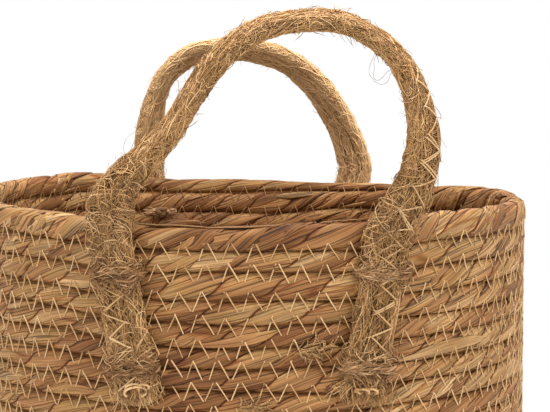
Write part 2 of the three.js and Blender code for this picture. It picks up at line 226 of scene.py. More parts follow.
def ringsAlong(paths, radii, sides):
    # paths is tubes × points × 3: round rings square to each path, of the radius given for each point
    along = unit(np.gradient(paths, axis=1))
    across = unit(np.cross(along, np.array([0.31, 0.17, 0.93])))
    upward = np.cross(across, along)
    turn = np.arange(sides) * 2 * math.pi / sides
    radii = np.asarray(radii)[..., None, None]
    spread = across[:, :, None] * np.cos(turn)[:, None] - upward[:, :, None] * np.sin(turn)[:, None]
    return paths[:, :, None] + spread * radii


def plainUv(rings, tone):
    # u is the strand's own tone, v the distance along it in millimetres
    count, length, sides = rings.shape[:3]
    steps = np.linalg.norm(np.diff(rings.mean(2), axis=1), axis=-1)
    run = np.concatenate([np.zeros((count, 1)), np.cumsum(steps, 1)], 1)
    uv = np.zeros((count, length, sides + 1, 2))
    uv[..., 0] = tone[:, None, None]
    uv[..., 1] = run[:, :, None]
    return uv


def strandTubes(name, paths, radii, sides, material, tone):
    # round strands along paths of strands × points × 3, each in a tone of its own
    rings = ringsAlong(paths, np.broadcast_to(radii, paths.shape[:2]), sides)
    return tubes(name, rings, material, {"lay": plainUv(rings, tone)})


def onBasketBody(piece, slotName, *nodes):
    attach(piece, "basket")
    if nodes:
        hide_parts(*nodes)


# Seagrass: dried leaf blades, twisted by hand into two plies and laid up as a rope
# Each blade keeps its own shade, with fine ribs along it, and the waxy skin has a soft sheen
seagrassLook = {
    # each pattern: the lines it follows, its length along the leaf, width across it, detail and roughness
    "patterns": {
        "drift": ("straight", 60, 14, 0.0, 0.5), "bundle": ("straight", 55, 16, 0.0, 0.5),
        "ribs": ("bent", 70, 1.1, 3.0, 0.6), "splits": ("bent", 60, 0.8, 1.5, 0.5),
        "patches": ("straight", 24, 7, 2.0, 0.5),
    },
    # what is made of a pattern: from and by which of its values, and what these turn into
    "made": {
        "bundleTone": ("bundle", 0.25, 0.75, 0.0, 1.0), "ribShade": ("ribs", 0.3, 0.7, 0.66, 1.26),
        "crackShade": ("splits", 0.54, 0.62, 1.0, 0.36), "patchShade": ("patches", 0.3, 0.7, 0.88, 1.08),
        "roughness": ("ribs", 0.3, 0.7, 0.75, 0.55),
    },
    "blade": (95, 5.5),
    "bladeShare": 0.5,  # how far a blade's own tone shows beside its bundle's
    # painted shade: how dark the creases are along a loose blade's edge, a twisted blade's edge and between
    # two plies
    "looseEdge": (0.0, 0.16, 0.45, 1.0), "bladeEdge": (0.0, 0.06, 0.58, 1.0),
    "plyEdge": (0.9, 0.99, 1.0, 0.32),
    "creaseDepth": 0.5, "ribDepth": 0.45,
    "shades": [(0.0, "#7a4d27"), (0.2, "#946539"), (0.4, "#a9794a"), (0.52, "#ab7f49"), (0.62, "#ab8455"),
               (0.76, "#b88e5e"), (0.92, "#c69d6c")],
    "shadow": [(0.0, "#4c2208"), (0.35, "#a07448"), (0.7, "#e2ccb2"), (1.0, "#ffffff")],
}


def seagrassMaterial(name, looseBlades):
    look = seagrassLook
    material = newMaterial(name)
    lay = addNode(material, "UVMap", uv_map="lay")
    place = addNode(material, "SeparateXYZ", [addNode(material, "UVMap", uv_map="place")])
    toneAndShade = addNode(material, "SeparateXYZ", [addNode(material, "UVMap", uv_map="toneAndShade")])

    # the first pattern bends the lines that others follow
    lines, patterns = {"straight": lay}, {}
    for pattern, (followed, length, width, detail, roughness) in look["patterns"].items():
        stretched = addNode(material, "Mapping", {
            "Vector": lines[followed], "Scale": drawnOut(length, width)})
        patterns[pattern] = addNode(material, "TexNoise", {
            "Vector": stretched, "Scale": 1.0, "Detail": detail, "Roughness": roughness})
        if pattern == "drift":
            sideways = patterns["drift"].outputs["Color"]
            lines["bent"] = addNode(material, "VectorMath", [sideways, (0, 1, 0), lay],
                                    operation="MULTIPLY_ADD")
    made = {}
    for result, (pattern, *change) in look["made"].items():
        made[result] = addNode(material, "MapRange", [patterns[pattern], *change],
                               interpolation_type="SMOOTHSTEP")

    # each blade's tone, and the painted shade in the crease along its edge and between the plies
    if looseBlades:
        tone = place
        fromMiddle = addNode(material, "Math", [place.outputs["Y"]], operation="ABSOLUTE")
        fromEdge = addNode(material, "Math", [1.0, fromMiddle], operation="SUBTRACT")
        crease = addNode(material, "MapRange", [fromEdge, *look["looseEdge"]],
                         interpolation_type="SMOOTHSTEP")
    else:
        stretched = addNode(material, "Mapping", {
            "Vector": lines["bent"], "Scale": drawnOut(*look["blade"])})
        blades = {"Vector": stretched, "Scale": 1.0}
        cells, edges = [addNode(material, "TexVoronoi", blades, voronoi_dimensions="2D", feature=feature)
                        for feature in ("F1", "DISTANCE_TO_EDGE")]
        tone = addNode(material, "SeparateColor", [cells.outputs["Color"]])
        fromMiddle = addNode(material, "Math", [place], operation="ABSOLUTE")
        darkened = [addNode(material, "MapRange", [distance, *look[edge]], interpolation_type="SMOOTHSTEP")
                    for distance, edge in ((edges, "bladeEdge"), (fromMiddle, "plyEdge"))]
        crease = addNode(material, "Math", darkened, operation="MINIMUM")

    tone = addNode(material, "Mix", {"Factor": look["bladeShare"], "A": made["bundleTone"], "B": tone})
    # adds the change of tone along some rows, in one place painted shade
    tone = addNode(material, "Math", [tone, toneAndShade], operation="ADD")
    leaf = addNode(material, "ValToRGB", [tone], look["shades"])
    shadow = addNode(material, "ValToRGB", [crease], look["shadow"])
    light = made["ribShade"]
    for shade in ("crackShade", "patchShade"):
        light = addNode(material, "Math", [light, made[shade]], operation="MULTIPLY")
    lit = addNode(material, "VectorMath", {0: leaf, "Scale": light}, operation="SCALE")
    tinted = addNode(material, "VectorMath", [lit, shadow], operation="MULTIPLY")
    edgeLow = addNode(material, "Bump", {
        "Height": crease, "Distance": look["creaseDepth"] * mm, "Strength": 1.0})
    ribLow = addNode(material, "Bump", {
        "Height": patterns["ribs"], "Distance": look["ribDepth"] * mm, "Strength": 1.0, "Normal": edgeLow})
    setSurface(material, {"Base Color": tinted, "Roughness": made["roughness"], "Normal": ribLow, "IOR": 1.46,
                          "Specular IOR Level": 0.3})
    return material


def leafMaps(lay, first, second=0.0, toneAndShade=0.0):
    # the maps that a leaf's material reads: where it lies, its tone and edge, or how near it is to a ply's
    # edge, and what its row adds to its tone
    place, rowTone = np.zeros_like(lay), np.zeros_like(lay)
    place[..., 0], place[..., 1], rowTone[..., 0] = first, second, toneAndShade
    return {"lay": lay, "place": place, "toneAndShade": rowTone}


seagrass = seagrassMaterial("twistedSeagrassLeaf", False)
seagrassBlade = seagrassMaterial("wrappedSeagrassBlade", True)

# Rope
rope = {
    "seed": 23,
    "lead": 54,  # length in which a ply goes once round the rope
    "ringStep": 2.5,
    "leafSlope": 15.5,  # how steeply the leaves rise along a row, in degrees
    "squareness": 0.7,  # the rows are pressed flat on each other
    "fullness": 1.05,
    # hand work: over what length each of these changes, and by how much
    "twist": (35, 0.2), "thickness": (22, 0.03), "plyThickness": (30, 0.05), "slope": (45, 11.5),
    "seam": (48, 1.3),
    "seamSettles": 1.5,  # turns over which the seams come back to their place at the foot
    "rimSwell": 0.06,  # nothing presses on the last row from above
    "swellEnds": 1.06, "swellFades": 0.12,  # in turns back from the end
    "tailTurns": 19 / 360,  # how far the thinned end lies on over the row below
    "plyGap": 511,  # keeps the leaves of the two plies apart
    "bridged": 1.005,  # share of its half size at which a blade bridges the crease between two plies
    "lowest": 0.05,  # flat where it stands
}
# the outline of one ply, from one crease to the next: its leading edge lies over the ply before
plyAcross = np.array([-1, -0.95, -0.84, -0.5, -0.1, 0.3, 0.65, 0.9, 1])
plyHeight = np.array([0.78, 0.85, 0.905, 0.955, 0.985, 1, 0.995, 0.95, 0.78])
plyColumns = len(plyAcross) - 1
# the rope's thickness over its last turn, thinned to a flat tip: degrees back from its end, share of full
# size
tailSizes = [(-19, 0.03), (-16, 0.12), (-7, 0.23), (0, 0.36), (11.5, 0.42), (33, 0.62), (53, 0.72), (78, 1)]
# how far the first rows' upper edges were sewn above their place, by the azimuth in degrees, row after row
rimShape = [
    [(57, 0), (110, 0), (125, 3), (138, 6), (160, 5), (180, 4), (210, 2), (234, 0.3), (238, -1.4),
     (252, -3.1), (270, -1.6), (279, 0.8), (288, 1), (309, 5.2), (318, 5.4), (360, 5), (382, 5), (398, 3.5),
     (416, 0)],
    [(57, -0.5), (90, -2.6), (110, -1.5), (125, 2), (138, 5.1), (160, 4), (180, 3), (210, 1.5), (234, 0.5),
     (252, -0.8), (270, -1.8), (288, -1.6), (300, 0.5), (309, 2.4), (318, 1.7), (360, 2), (382, 3),
     (398, 1.5), (416, -0.5)],
    [(90, -5), (110, -3), (125, 1), (138, 4.8), (160, 3), (180, 2), (210, 1), (234, 0), (240, -1.5),
     (246, -2.5), (252, -1.5), (262, 0), (300, 0), (360, 1), (382, 1.5)],
    [(90, -4), (110, -2.5), (125, 1), (138, 3.5), (160, 2), (180, 1), (234, 0), (250, -4), (270, -3.4),
     (288, -2.5), (298, 0), (400, 0)],
    [(90, -2.7), (138, 2), (180, 0), (234, 0), (250, -3.4), (265, -4.4), (288, -2), (298, 0), (400, 0)],
    [(90, -1.3), (138, 1), (180, 0), (234, 0), (250, -2.8), (270, -2.6), (288, -1), (298, 0), (400, 0)],
    [(234, 0), (250, -2.4), (270, -2.9), (288, -1.5), (298, 0)],
    [(234, 0), (250, -2.4), (270, -2.6), (288, -2.5), (298, 0)],
    [(238, 0), (270, -2), (298, 0)],
    [(238, 0), (270, -1.2), (298, 0)],
]
ringTurn = rope["ringStep"] / (2 * math.pi * basket["radius"])
ropeTurns = np.linspace(-rope["tailTurns"], turnsAll, int((turnsAll + rope["tailTurns"]) / ringTurn))
ropeAzimuth = np.radians(basket["ropeEndAzimuth"]) + ropeTurns * 2 * math.pi
ropeLength = outlineLength - ropeTurns * basket["rowPitch"]
ropeRadius = outlineAt(ropeLength)[0]
ropeRun = np.concatenate([[0], np.cumsum(np.diff(ropeAzimuth) * (ropeRadius[1:] + ropeRadius[:-1]) / 2)])
ropeRun = ropeRun - np.interp(0, ropeTurns, ropeRun)


def slowNoise(run, step, seed):
    # smooth random values from -1 to 1, with a new one every step of the run
    knots = np.random.default_rng(seed).uniform(-1, 1, int(run[-1] / step) + 3)
    place = np.maximum(run, 0) / step
    index = place.astype(int)
    share = place - index
    share = share * share * (3 - 2 * share)
    return knots[index] * (1 - share) + knots[index + 1] * share


def summed(rate):
    return np.concatenate([[0], np.cumsum((rate[1:] + rate[:-1]) / 2 * np.diff(ropeRun))])


def varied(what, seedShift):
    every, size = rope[what]
    return size * slowNoise(ropeRun, every, rope["seed"] + seedShift)


ropeTwist = summed(2 * math.pi / rope["lead"] * (1 + varied("twist", 1)))
ropeFat = 1 + varied("thickness", 2)
plyFat = 1 + np.stack([varied("plyThickness", i) for i in (4, 5)])
plyClimb = np.stack([summed(np.tan(np.radians(rope["leafSlope"] + varied("slope", i)))) for i in (6, 7)])
shapeTurns = [row + (degrees - basket["ropeEndAzimuth"]) / 360 for row, edge in enumerate(rimShape)
              for degrees, shift in edge] + [len(rimShape)]
shapeShifts = [shift for edge in rimShape for degrees, shift in edge] + [0]
seamShift = varied("seam", 8) + np.interp(ropeTurns, shapeTurns, shapeShifts)


def seamAt(turns):
    # how far the seam over this turn of the rope is above its place
    settled = np.clip((turnsWall - 1 - turns) / rope["seamSettles"], 0, 1)
    return np.interp(turns, ropeTurns, seamShift) * settled


def tailAt(turns):
    return np.interp(turns * 360, *zip(*tailSizes))


def ropeSurface(turns, angle, smooth=False):
    # share of the rope's half size, angle 0 facing out of the wall and a quarter turn up along it
    twist = np.interp(turns, ropeTurns, ropeTwist)
    place = (angle - twist) / math.pi
    ply = np.floor(place).astype(int) % 2
    across = (place - np.floor(place)) * 2 - 1
    swell = np.where(ply == 0, *[np.interp(turns, ropeTurns, fat) for fat in plyFat])
    share = np.interp(across, plyAcross, plyHeight) * (1 + (swell - 1) * (1 - across ** 2))
    if smooth:
        share = np.maximum(share, rope["bridged"])
    return share * np.interp(turns, ropeTurns, ropeFat) * rope["fullness"]


def squared(values):
    return np.sign(values) * np.abs(values) ** rope["squareness"]


def onRope(turns, angle, height=0.0, smooth=False):
    # a point over the rope's skin: turns back from the rope's end, then the angle round it
    tail = tailAt(turns)
    swell = rope["rimSwell"] * np.clip((rope["swellEnds"] - turns) / rope["swellFades"], 0, 1)
    above, below = seamAt(turns), seamAt(turns + 1)
    halfHeight = (basket["ropeHeight"] + above - below) / 2
    share = ropeSurface(turns, angle, smooth)
    out = (share * (1 + swell) * np.sqrt(tail) * basket["ropeDepth"] / 2 + height) * squared(np.cos(angle))
    up = (share * (1 + swell) * tail * halfHeight + height) * squared(np.sin(angle))
    up = up + (swell + tail - 1) * halfHeight + (above + below) / 2
    azimuth = np.interp(turns, ropeTurns, ropeAzimuth)
    return onBasket(azimuth, outlineLength - turns * basket["rowPitch"], out, up)


# Rows made darker or lighter in places: azimuth in degrees, row, how far each way, and the change of tone.
# The darkening of the far side's top rows is painted shade of the basket's inside
rowTonesAndShade = [(262, 6.8, 21, 2.4, -0.42), (268, 0.7, 26, 0.5, -0.22), (90, 1.5, 60, 3, -0.25),
           (318, 3, 16, 3, 0.08), (230, 7, 14, 2, -0.1), (270, 3.2, 26, 2.2, -0.14)]


def rowToneAndShadeAt(turns):
    degrees = (turns * 360 + basket["ropeEndAzimuth"]) % 360
    tone = 0
    for azimuth, row, reach, rows, change in rowTonesAndShade:
        aside = (degrees - azimuth + 180) % 360 - 180
        tone = tone + change * np.exp(-((aside / reach) ** 2) - ((turns - row) / rows) ** 2)
    return tone


# the way round the rope's flattened section, so that the leaf's lines run straight over it
sectionAngles = np.linspace(0, 2 * math.pi, 1441)
section = np.stack([squared(np.cos(sectionAngles)) * basket["ropeDepth"] / 2,
                    squared(np.sin(sectionAngles)) * basket["ropeHeight"] / 2], -1)
sectionRun = np.concatenate([[0], np.cumsum(np.linalg.norm(np.diff(section, axis=0), axis=1))])


def girthAt(angle):
    wholeTurns = np.floor(angle / (2 * math.pi))
    rest = angle - wholeTurns * 2 * math.pi
    return wholeTurns * sectionRun[-1] + np.interp(rest, sectionAngles, sectionRun)


def ropePiece(name, fromTurns, toTurns, every):
    keep = np.where((ropeTurns >= fromTurns - 1e-9) & (ropeTurns <= toTurns + 1e-9))[0][::every]
    sides = 2 * plyColumns
    around = np.concatenate([(plyAcross[:-1] + 1) / 2, (plyAcross + 3) / 2]) * math.pi
    angle = ropeTwist[keep][:, None] + around[:-1]
    turns = np.broadcast_to(ropeTurns[keep][:, None], angle.shape)
    points = onRope(turns, angle)
    points[..., 2] = np.maximum(points[..., 2], rope["lowest"])
    # the rings turn the other way
    quads, ends, corners = [faces[:, ::-1] for faces in tubeFaces(len(points), sides)]
    ring, place = corners[..., 0], corners[..., 1]
    second = (corners[:, :1, 1] >= plyColumns) * np.ones_like(place)
    girth = girthAt(ropeTwist[keep][ring] + around[place])
    climb = plyClimb[:, keep][second, ring]
    lay = np.stack([ropeRun[keep][ring] + rope["plyGap"] * second, girth - climb], -1).reshape(-1, 2)
    placeUv = np.stack([plyAcross[place - second * plyColumns], second], -1).reshape(-1, 2)
    endUv = np.zeros((ends.size, 2))
    toneAndShade = np.zeros_like(lay)
    toneAndShade[:, 0] = rowToneAndShadeAt(ropeTurns[keep])[ring].ravel()
    uvs = {"lay": lay, "place": placeUv, "toneAndShade": toneAndShade}
    uvs = {mapName: np.concatenate([values, endUv]) for mapName, values in uvs.items()}
    return meshPiece(name, points.reshape(-1, 3), quads, ends, uvs, seagrass)


# each part: from and to which turn, one ring shared with the next, and how many rings are passed over
ropeParts = {
    "wall_rope_upper": (-rope["tailTurns"], turnsWall / 3 + ringTurn, 1, "wall_coil"),
    "wall_rope_middle": (turnsWall / 3, turnsWall * 2 / 3 + ringTurn, 1, "wall_coil"),
    "wall_rope_lower": (turnsWall * 2 / 3, turnsWall + ringTurn, 1, "wall_coil"),
    "base_rope": (turnsWall, turnsAll, 2, "base_coil"),
}
for name, (start, stop, every, node) in ropeParts.items():
    onBasketBody(ropePiece(name, start, stop, every), "seagrass", node)

# The rope's first end: a tight wad of leaf that closes the middle of the base
heart = {
    "place": (3.4, -2.4), "half": (11, 7.4), "heading": -70, "height": 9.6, "raised": 0.4,
    "folds": 5, "foldDepth": 0.14, "twist": 1.5, "tone": 0.45, "levels": 17, "sides": 36,
}


def heartPiece(name):
    shares = np.linspace(0, 1, heart["levels"])[:, None]
    angle = np.arange(heart["sides"] + 1)[None] * 2 * math.pi / heart["sides"]
    size = (1 - np.abs(2 * shares - 1) ** 3) ** (1 / 3)
    turned = angle + heart["twist"] * shares
    fold = 1 - heart["foldDepth"] * np.abs(np.sin(heart["folds"] / 2 * turned)) ** 4
    share = np.maximum(size, 0.1) * fold
    (halfAlong, halfAcross), (x, y) = heart["half"], heart["place"]
    along, across = halfAlong * share * np.cos(angle), halfAcross * share * np.sin(angle)
    c, s = math.cos(math.radians(heart["heading"])), math.sin(math.radians(heart["heading"]))
    height = heart["raised"] + heart["height"] * shares + 0 * angle
    points = np.stack([x + along * c - across * s, y + along * s + across * c, height], -1)[None]
    lay = halfAcross * np.stack([3 * shares + 0 * angle, turned], -1)[None]
    return tubes(name, points[:, :, :-1], seagrassBlade, leafMaps(lay, heart["tone"]))


onBasketBody(heartPiece("base_heart"), "seagrass")
print("rope wound")

# Leaf blades that wrap round the rows, each pointed at both ends with its edges free
blades = {
    "seed": 61, "lift": 0.3,
    "wall": {"count": 900, "length": (40, 85), "width": (4, 8), "slope": (18, 10)},
    "rim": {"count": 70, "length": (38, 62), "width": (7, 11), "slope": (35, 4)},
    "bow": 1.2,  # how far a blade's middle strays sideways
    "mapSpread": 900,  # keeps the patterns of two blades apart
    # along the blade: share of the length, of the width, and how deep the ends are tucked in
    "along": [0, 0.05, 0.16, 0.32, 0.5, 0.68, 0.84, 0.95, 1],
    "wide": [0.03, 0.3, 0.66, 0.93, 1, 0.96, 0.72, 0.34, 0.03],
    "sunk": [-0.5, -0.1, 0, 0, 0, 0, 0, -0.1, -0.5],
    # across it: place and share of the lift, the last one underneath
    "across": [-1, -0.55, 0.55, 1, 0], "raised": [0.06, 1, 1, 0.06, -2.4],
}


def bladePiece(name, fromTurns, toTurns, kind, seed):
    random = np.random.default_rng(seed)
    runs = np.interp([fromTurns, toTurns], ropeTurns, ropeRun)
    count = kind["count"]
    start = random.uniform(*runs, count)
    length = random.uniform(*kind["length"], count)
    width = random.uniform(*kind["width"], count)
    slope = np.radians(random.normal(*kind["slope"], count))
    facing = np.where(random.uniform(0, 1, count) < 0.5, 0.0, math.pi) + random.uniform(-1.0, 1.0, count)
    shares, side = np.array(blades["along"]), np.array(blades["across"])
    lift = np.array(blades["raised"]) * blades["lift"] + np.array(blades["sunk"])[:, None]
    along = (0.5 - shares) * length[:, None]
    bow = random.normal(0, blades["bow"], (count, 1)) * np.sin(math.pi * shares)
    half = width[:, None] / 2 * blades["wide"]
    across = side * half[..., None] + bow[..., None]
    rise, level = np.sin(slope)[:, None, None], np.cos(slope)[:, None, None]
    run = start[:, None, None] + along[..., None] * level - across * rise
    angle = facing[:, None, None] + (along[..., None] * rise + across * level) / (basket["ropeHeight"] / 2)
    turns = np.interp(run, ropeRun, ropeTurns)
    keep = np.all((turns > fromTurns) & (turns < toTurns), axis=(1, 2))
    points = onRope(turns[keep], angle[keep], lift, smooth=True)
    shift = (len(points), 1, 1)
    lay = np.zeros((len(points), len(shares), len(side) + 1, 2))
    closed = np.append(side, side[0])
    lay[..., 0] = along[keep][..., None] + random.uniform(0, blades["mapSpread"], shift)
    lay[..., 1] = closed * half[keep][..., None] + random.uniform(0, blades["mapSpread"], shift)
    rowTone = rowToneAndShadeAt(turns[keep].mean((1, 2)))[:, None, None]
    return tubes(name, points, seagrassBlade, leafMaps(lay, random.uniform(0, 1, shift), closed, rowTone))


onBasketBody(bladePiece("wall_blades", 1, turnsWall - 0.5, blades["wall"], blades["seed"]), "seagrass")
onBasketBody(bladePiece("rim_blades", 0.15, 1, blades["rim"], blades["seed"] + 1), "seagrass")

# Two places where a leaf's end was left out and frayed: azimuth, depth below the rim, width and how many,
# and strips that stand a little off the rim's inner side
shreds = {
    "seed": 91, "places": [(-79.2, 60, 8, 46), (-89.5, 90, 8, 30)],
    "length": (4, 11), "radius": 0.4, "turned": 0.55, "curl": 0.9, "height": 1.1, "standsOff": (0.2, 2.2),
    "tone": (0.8, 1.4), "taper": [0.6, 1, 1, 1, 1, 0.8, 0.4],
}
# each strip: from and to which azimuth, how far round the rope from its outer face, and its tone
rimStrips = {
    "spans": [(-113, -96, 96, 0.75), (-98, -84, 88, 0.35), (-77, -66, 98, 0.9)],
    "width": 4.5, "lift": 1.0, "sunk": 0.6, "thick": 0.3, "steps": 24,
}


def shredPiece(name):
    random = np.random.default_rng(shreds["seed"])
    steps = len(shreds["taper"])
    shares = np.linspace(0, 1, steps)
    parts = []
    for azimuth, depth, width, count in shreds["places"]:
        each = (count, 1)
        length = random.uniform(*shreds["length"], each)
        heading = random.normal(0, shreds["turned"], each) + random.normal(0, shreds["curl"], each) * shares
        x = random.uniform(-width, width, each) + np.cumsum(np.cos(heading), 1) * length / steps
        up = random.normal(0, shreds["height"], each) + np.cumsum(np.sin(heading), 1) * length / steps
        off = random.uniform(*shreds["standsOff"], each) * np.sin(math.pi * (0.1 + 0.9 * shares))
        parts.append(onBasket(math.radians(azimuth) + x / basket["radius"],
                              outlineLength - depth + (rimAtHandles - basket["height"]) + up,
                              basket["ropeDepth"] / 2 + off))
    paths = np.concatenate(parts)
    radii = shreds["radius"] * random.uniform(0.5, 1.5, (len(paths), 1)) * shreds["taper"]
    rings = ringsAlong(paths, radii, 4)
    lay = plainUv(rings, np.zeros(len(paths)))
    tones = random.uniform(*shreds["tone"], (len(paths), 1, 1))
    return tubes(name, rings, seagrassBlade, leafMaps(lay, tones))


def rimStripPiece(name):
    # flat strips along the rim, tucked in at both ends
    shares = np.linspace(0, 1, rimStrips["steps"])
    bulge = np.sin(math.pi * shares)
    lift = rimStrips["lift"] * bulge ** 0.5 - rimStrips["sunk"] * (1 - bulge)
    width = rimStrips["width"] * np.sin(math.pi * np.clip(shares, 0.06, 0.94)) ** 0.5
    around = np.stack([-width, width, width, -width], -1) / basket["ropeHeight"]
    rise = np.stack([lift, lift, lift + rimStrips["thick"], lift + rimStrips["thick"]], -1)
    strips = []
    for start, stop, angle, tone in rimStrips["spans"]:
        turns = (start + (stop - start) * shares - basket["ropeEndAzimuth"]) / 360 % 1
        strips.append(onRope(turns[:, None] * np.ones(4), math.radians(angle) + around, rise, smooth=True))
    rings = np.stack(strips)
    lay = plainUv(rings, np.zeros(len(strips)))
    lay[..., 0], lay[..., 1] = lay[..., 1].copy(), rimStrips["width"] * np.array([0, 1, 1, 0, 0])
    tones = np.array([tone for start, stop, angle, tone in rimStrips["spans"]])
    return tubes(name, rings, seagrassBlade, leafMaps(lay, tones[:, None, None]))


onBasketBody(shredPiece("wall_shreds"), "seagrass")
onBasketBody(rimStripPiece("rim_strips"), "seagrass")

# Leaf trimmings pressed into the seams, so that no light comes through
packing = {
    "radius": 2.0, "sides": 6, "step": 6, "strays": (30, 0.6), "seed": 5,
    "atPlyEdge": 0.95,  # painted as dark as the shaded crease between two plies
}


def underTurn(turns):
    # the azimuth and the length along the outline of the seam below a turn of the rope
    return np.interp(turns, ropeTurns, ropeAzimuth), outlineLength - (turns + 0.5) * basket["rowPitch"]


def seamPacking(name, fromTurns, toTurns):
    runs = np.interp([fromTurns, toTurns], ropeTurns, ropeRun)
    run = np.arange(*runs, packing["step"])
    turns = np.interp(run, ropeRun, ropeTurns)
    every, inOut = packing["strays"]
    azimuth, seam = underTurn(turns)
    path = onBasket(azimuth, seam, inOut * slowNoise(run - run[0], every, packing["seed"]), seamAt(turns + 1))
    radii = packing["radius"] * np.minimum(1, 2 * tailAt(turns))
    rings = ringsAlong(path[None], radii[None], packing["sides"])
    lay = np.zeros((1, len(run), packing["sides"] + 1, 2))
    lay[..., 0] = run[:, None]
    lay[..., 1] = np.arange(packing["sides"] + 1) * packing["radius"]
    return tubes(name, rings, seagrass, leafMaps(lay, packing["atPlyEdge"]))


onBasketBody(seamPacking("wall_packing", -0.045, turnsWall), "seagrass")
onBasketBody(seamPacking("base_packing", turnsWall, turnsAll - 1.2), "seagrass")
print("leaf blades and seams packed")


# Sewing thread: natural cotton, waxed, pulled tight over the seams in a zigzag
def strandMaterial(name, roughness, stops):
    # one shade to a strand
    material = newMaterial(name)
    tone = addNode(material, "SeparateXYZ", [addNode(material, "UVMap", uv_map="lay")])
    shade = addNode(material, "ValToRGB", [tone], stops)
    setSurface(material, {"Base Color": shade, "Roughness": roughness, "IOR": 1.5})
    return material


thread = strandMaterial("waxedSewingThread", 0.55, [
    (0, "#8f673c"), (0.3, "#b48a59"), (0.65, "#c9a26f"), (1, "#d9b586")])
stitches = {
    "seed": 37,
    "period": 12.4, "gap": 1, "strays": 0.09,
    "height": 9.6, "heightSpread": 0.6,
    "down": 5.2, "downSpread": 1.1,  # how far a stroke leans along the row, on its way down and on its way up
    "up": 3.6, "upSpread": 0.9,
    "radius": {"outside": 0.37, "inside": 0.3},
    "sides": {"outside": 5, "inside": 4},
    # the inside strokes take the thread's darkest tones: painted shade inside the basket
    "tone": {"outside": (0.35, 1), "inside": (0, 0.2)},
    "thickness": (0.85, 1.12),
    # along a stroke: sunk, on the rope, two between, on the rope and sunk again
    "shares": [-0.05, 0.03, 0.35, 0.65, 0.97, 1.05],
    "sunk": 1.3, "onRope": 0.1, "clear": 0.35, "pulledIn": 0.25,
    "tailReach": 1.9,  # the rope's thin end has less to sew through
    "lowest": 0.2,  # no stroke goes below the foot
}


def seamStitches(name, fromTurns, toTurns, faceName):
    face = {"outside": 1, "inside": -1}[faceName]
    random = np.random.default_rng(stitches["seed"] + int(face > 0))
    runs = np.interp([fromTurns, toTurns], ropeTurns, ropeRun)
    period, strays = stitches["period"], stitches["strays"]
    count = int((runs[1] - runs[0]) / period)
    start = runs[0] + (np.arange(count) + random.uniform(-strays, strays, count)) * period
    stop = start + period - stitches["gap"]
    down, up = [stitches[way] + random.uniform(-stitches[f"{way}Spread"], stitches[f"{way}Spread"], count)
                for way in ("down", "up")]
    x = np.concatenate([np.stack([start, start + down], -1), np.stack([stop - up, stop], -1)])
    spread = stitches["heightSpread"]
    top, bottom = [half + random.uniform(-spread, spread, 2 * count)
                   for half in (stitches["height"] / 2, -stitches["height"] / 2)]
    y = np.concatenate([np.stack([top[:count], bottom[:count]], -1),
                        np.stack([bottom[count:], top[count:]], -1)])
    shares = np.array(stitches["shares"])
    run = x[:, :1] + (x[:, 1:] - x[:, :1]) * shares
    offset = y[:, :1] + (y[:, 1:] - y[:, :1]) * shares
    turns = np.interp(run, ropeRun, ropeTurns)
    tail = tailAt(turns)
    offset = np.where(offset > 0, offset * np.minimum(1, stitches["tailReach"] * tail), offset)
    fromRow = np.abs(offset) - basket["rowPitch"] / 2
    share = np.abs(np.clip(fromRow / (basket["ropeHeight"] / 2), -1, 1)) ** (1 / rope["squareness"])
    tilt = np.arcsin(share) * np.sign(fromRow) * np.sign(offset)
    skin = ropeSurface(np.where(offset > 0, turns, turns + 1), tilt if face > 0 else math.pi - tilt)
    skin = skin * basket["ropeDepth"] / 2 * squared(np.cos(tilt)) * np.where(offset > 0, np.sqrt(tail), 1)
    depth = skin - stitches["sunk"]
    depth[:, [1, 4]] = skin[:, [1, 4]] + stitches["onRope"]
    along = (shares[2:4] - shares[1]) / (shares[4] - shares[1])
    straight = depth[:, 1:2] + (depth[:, 4:5] - depth[:, 1:2]) * along
    depth[:, 2:4] = np.maximum(straight - stitches["pulledIn"], skin[:, 2:4] + stitches["clear"])
    paths = onBasket(*underTurn(turns), depth * face, offset + seamAt(turns + 1))
    paths = paths[np.all(paths[..., 2] > stitches["lowest"], axis=1)]
    radii = stitches["radius"][faceName] * random.uniform(*stitches["thickness"], (len(paths), 1))
    tone = random.uniform(*stitches["tone"][faceName], len(paths))
    return strandTubes(name, paths, radii, stitches["sides"][faceName], thread, tone)


wallSeams = (-0.035, turnsWall - 0.2)
onBasketBody(seamStitches("wall_seams_outside", *wallSeams, "outside"), "jute_yarn")
onBasketBody(seamStitches("wall_seams_inside", *wallSeams, "inside"), "jute_yarn")
onBasketBody(seamStitches("base_seams_inside", turnsWall - 0.2, turnsAll - 1.2, "inside"), "jute_yarn")
print("seams sewn")


# Jute: coarse golden bast fibre, spun loose and hairy, matt
def juteMaterial(name, depth, stops):
    material = newMaterial(name)
    lay = addNode(material, "UVMap", uv_map="lay")
    stretched = addNode(material, "Mapping", {"Vector": lay, "Scale": drawnOut(7, 0.7)})
    fibre = addNode(material, "TexNoise", {
        "Vector": stretched, "Scale": 1.0, "Detail": 3.0, "Roughness": 0.65, "Distortion": 0.6})
    bump = addNode(material, "Bump", {"Height": fibre, "Distance": depth * mm, "Strength": 1.0})
    shade = addNode(material, "ValToRGB", [fibre], stops)
    setSurface(material, {"Base Color": shade, "Normal": bump, "Roughness": 0.85, "IOR": 1.5})
    return material


juteCord = juteMaterial("spunJuteCord", 1.6, [
    (0.3, "#3a230e"), (0.47, "#66441f"), (0.64, "#94693a"), (0.85, "#b88b57")])
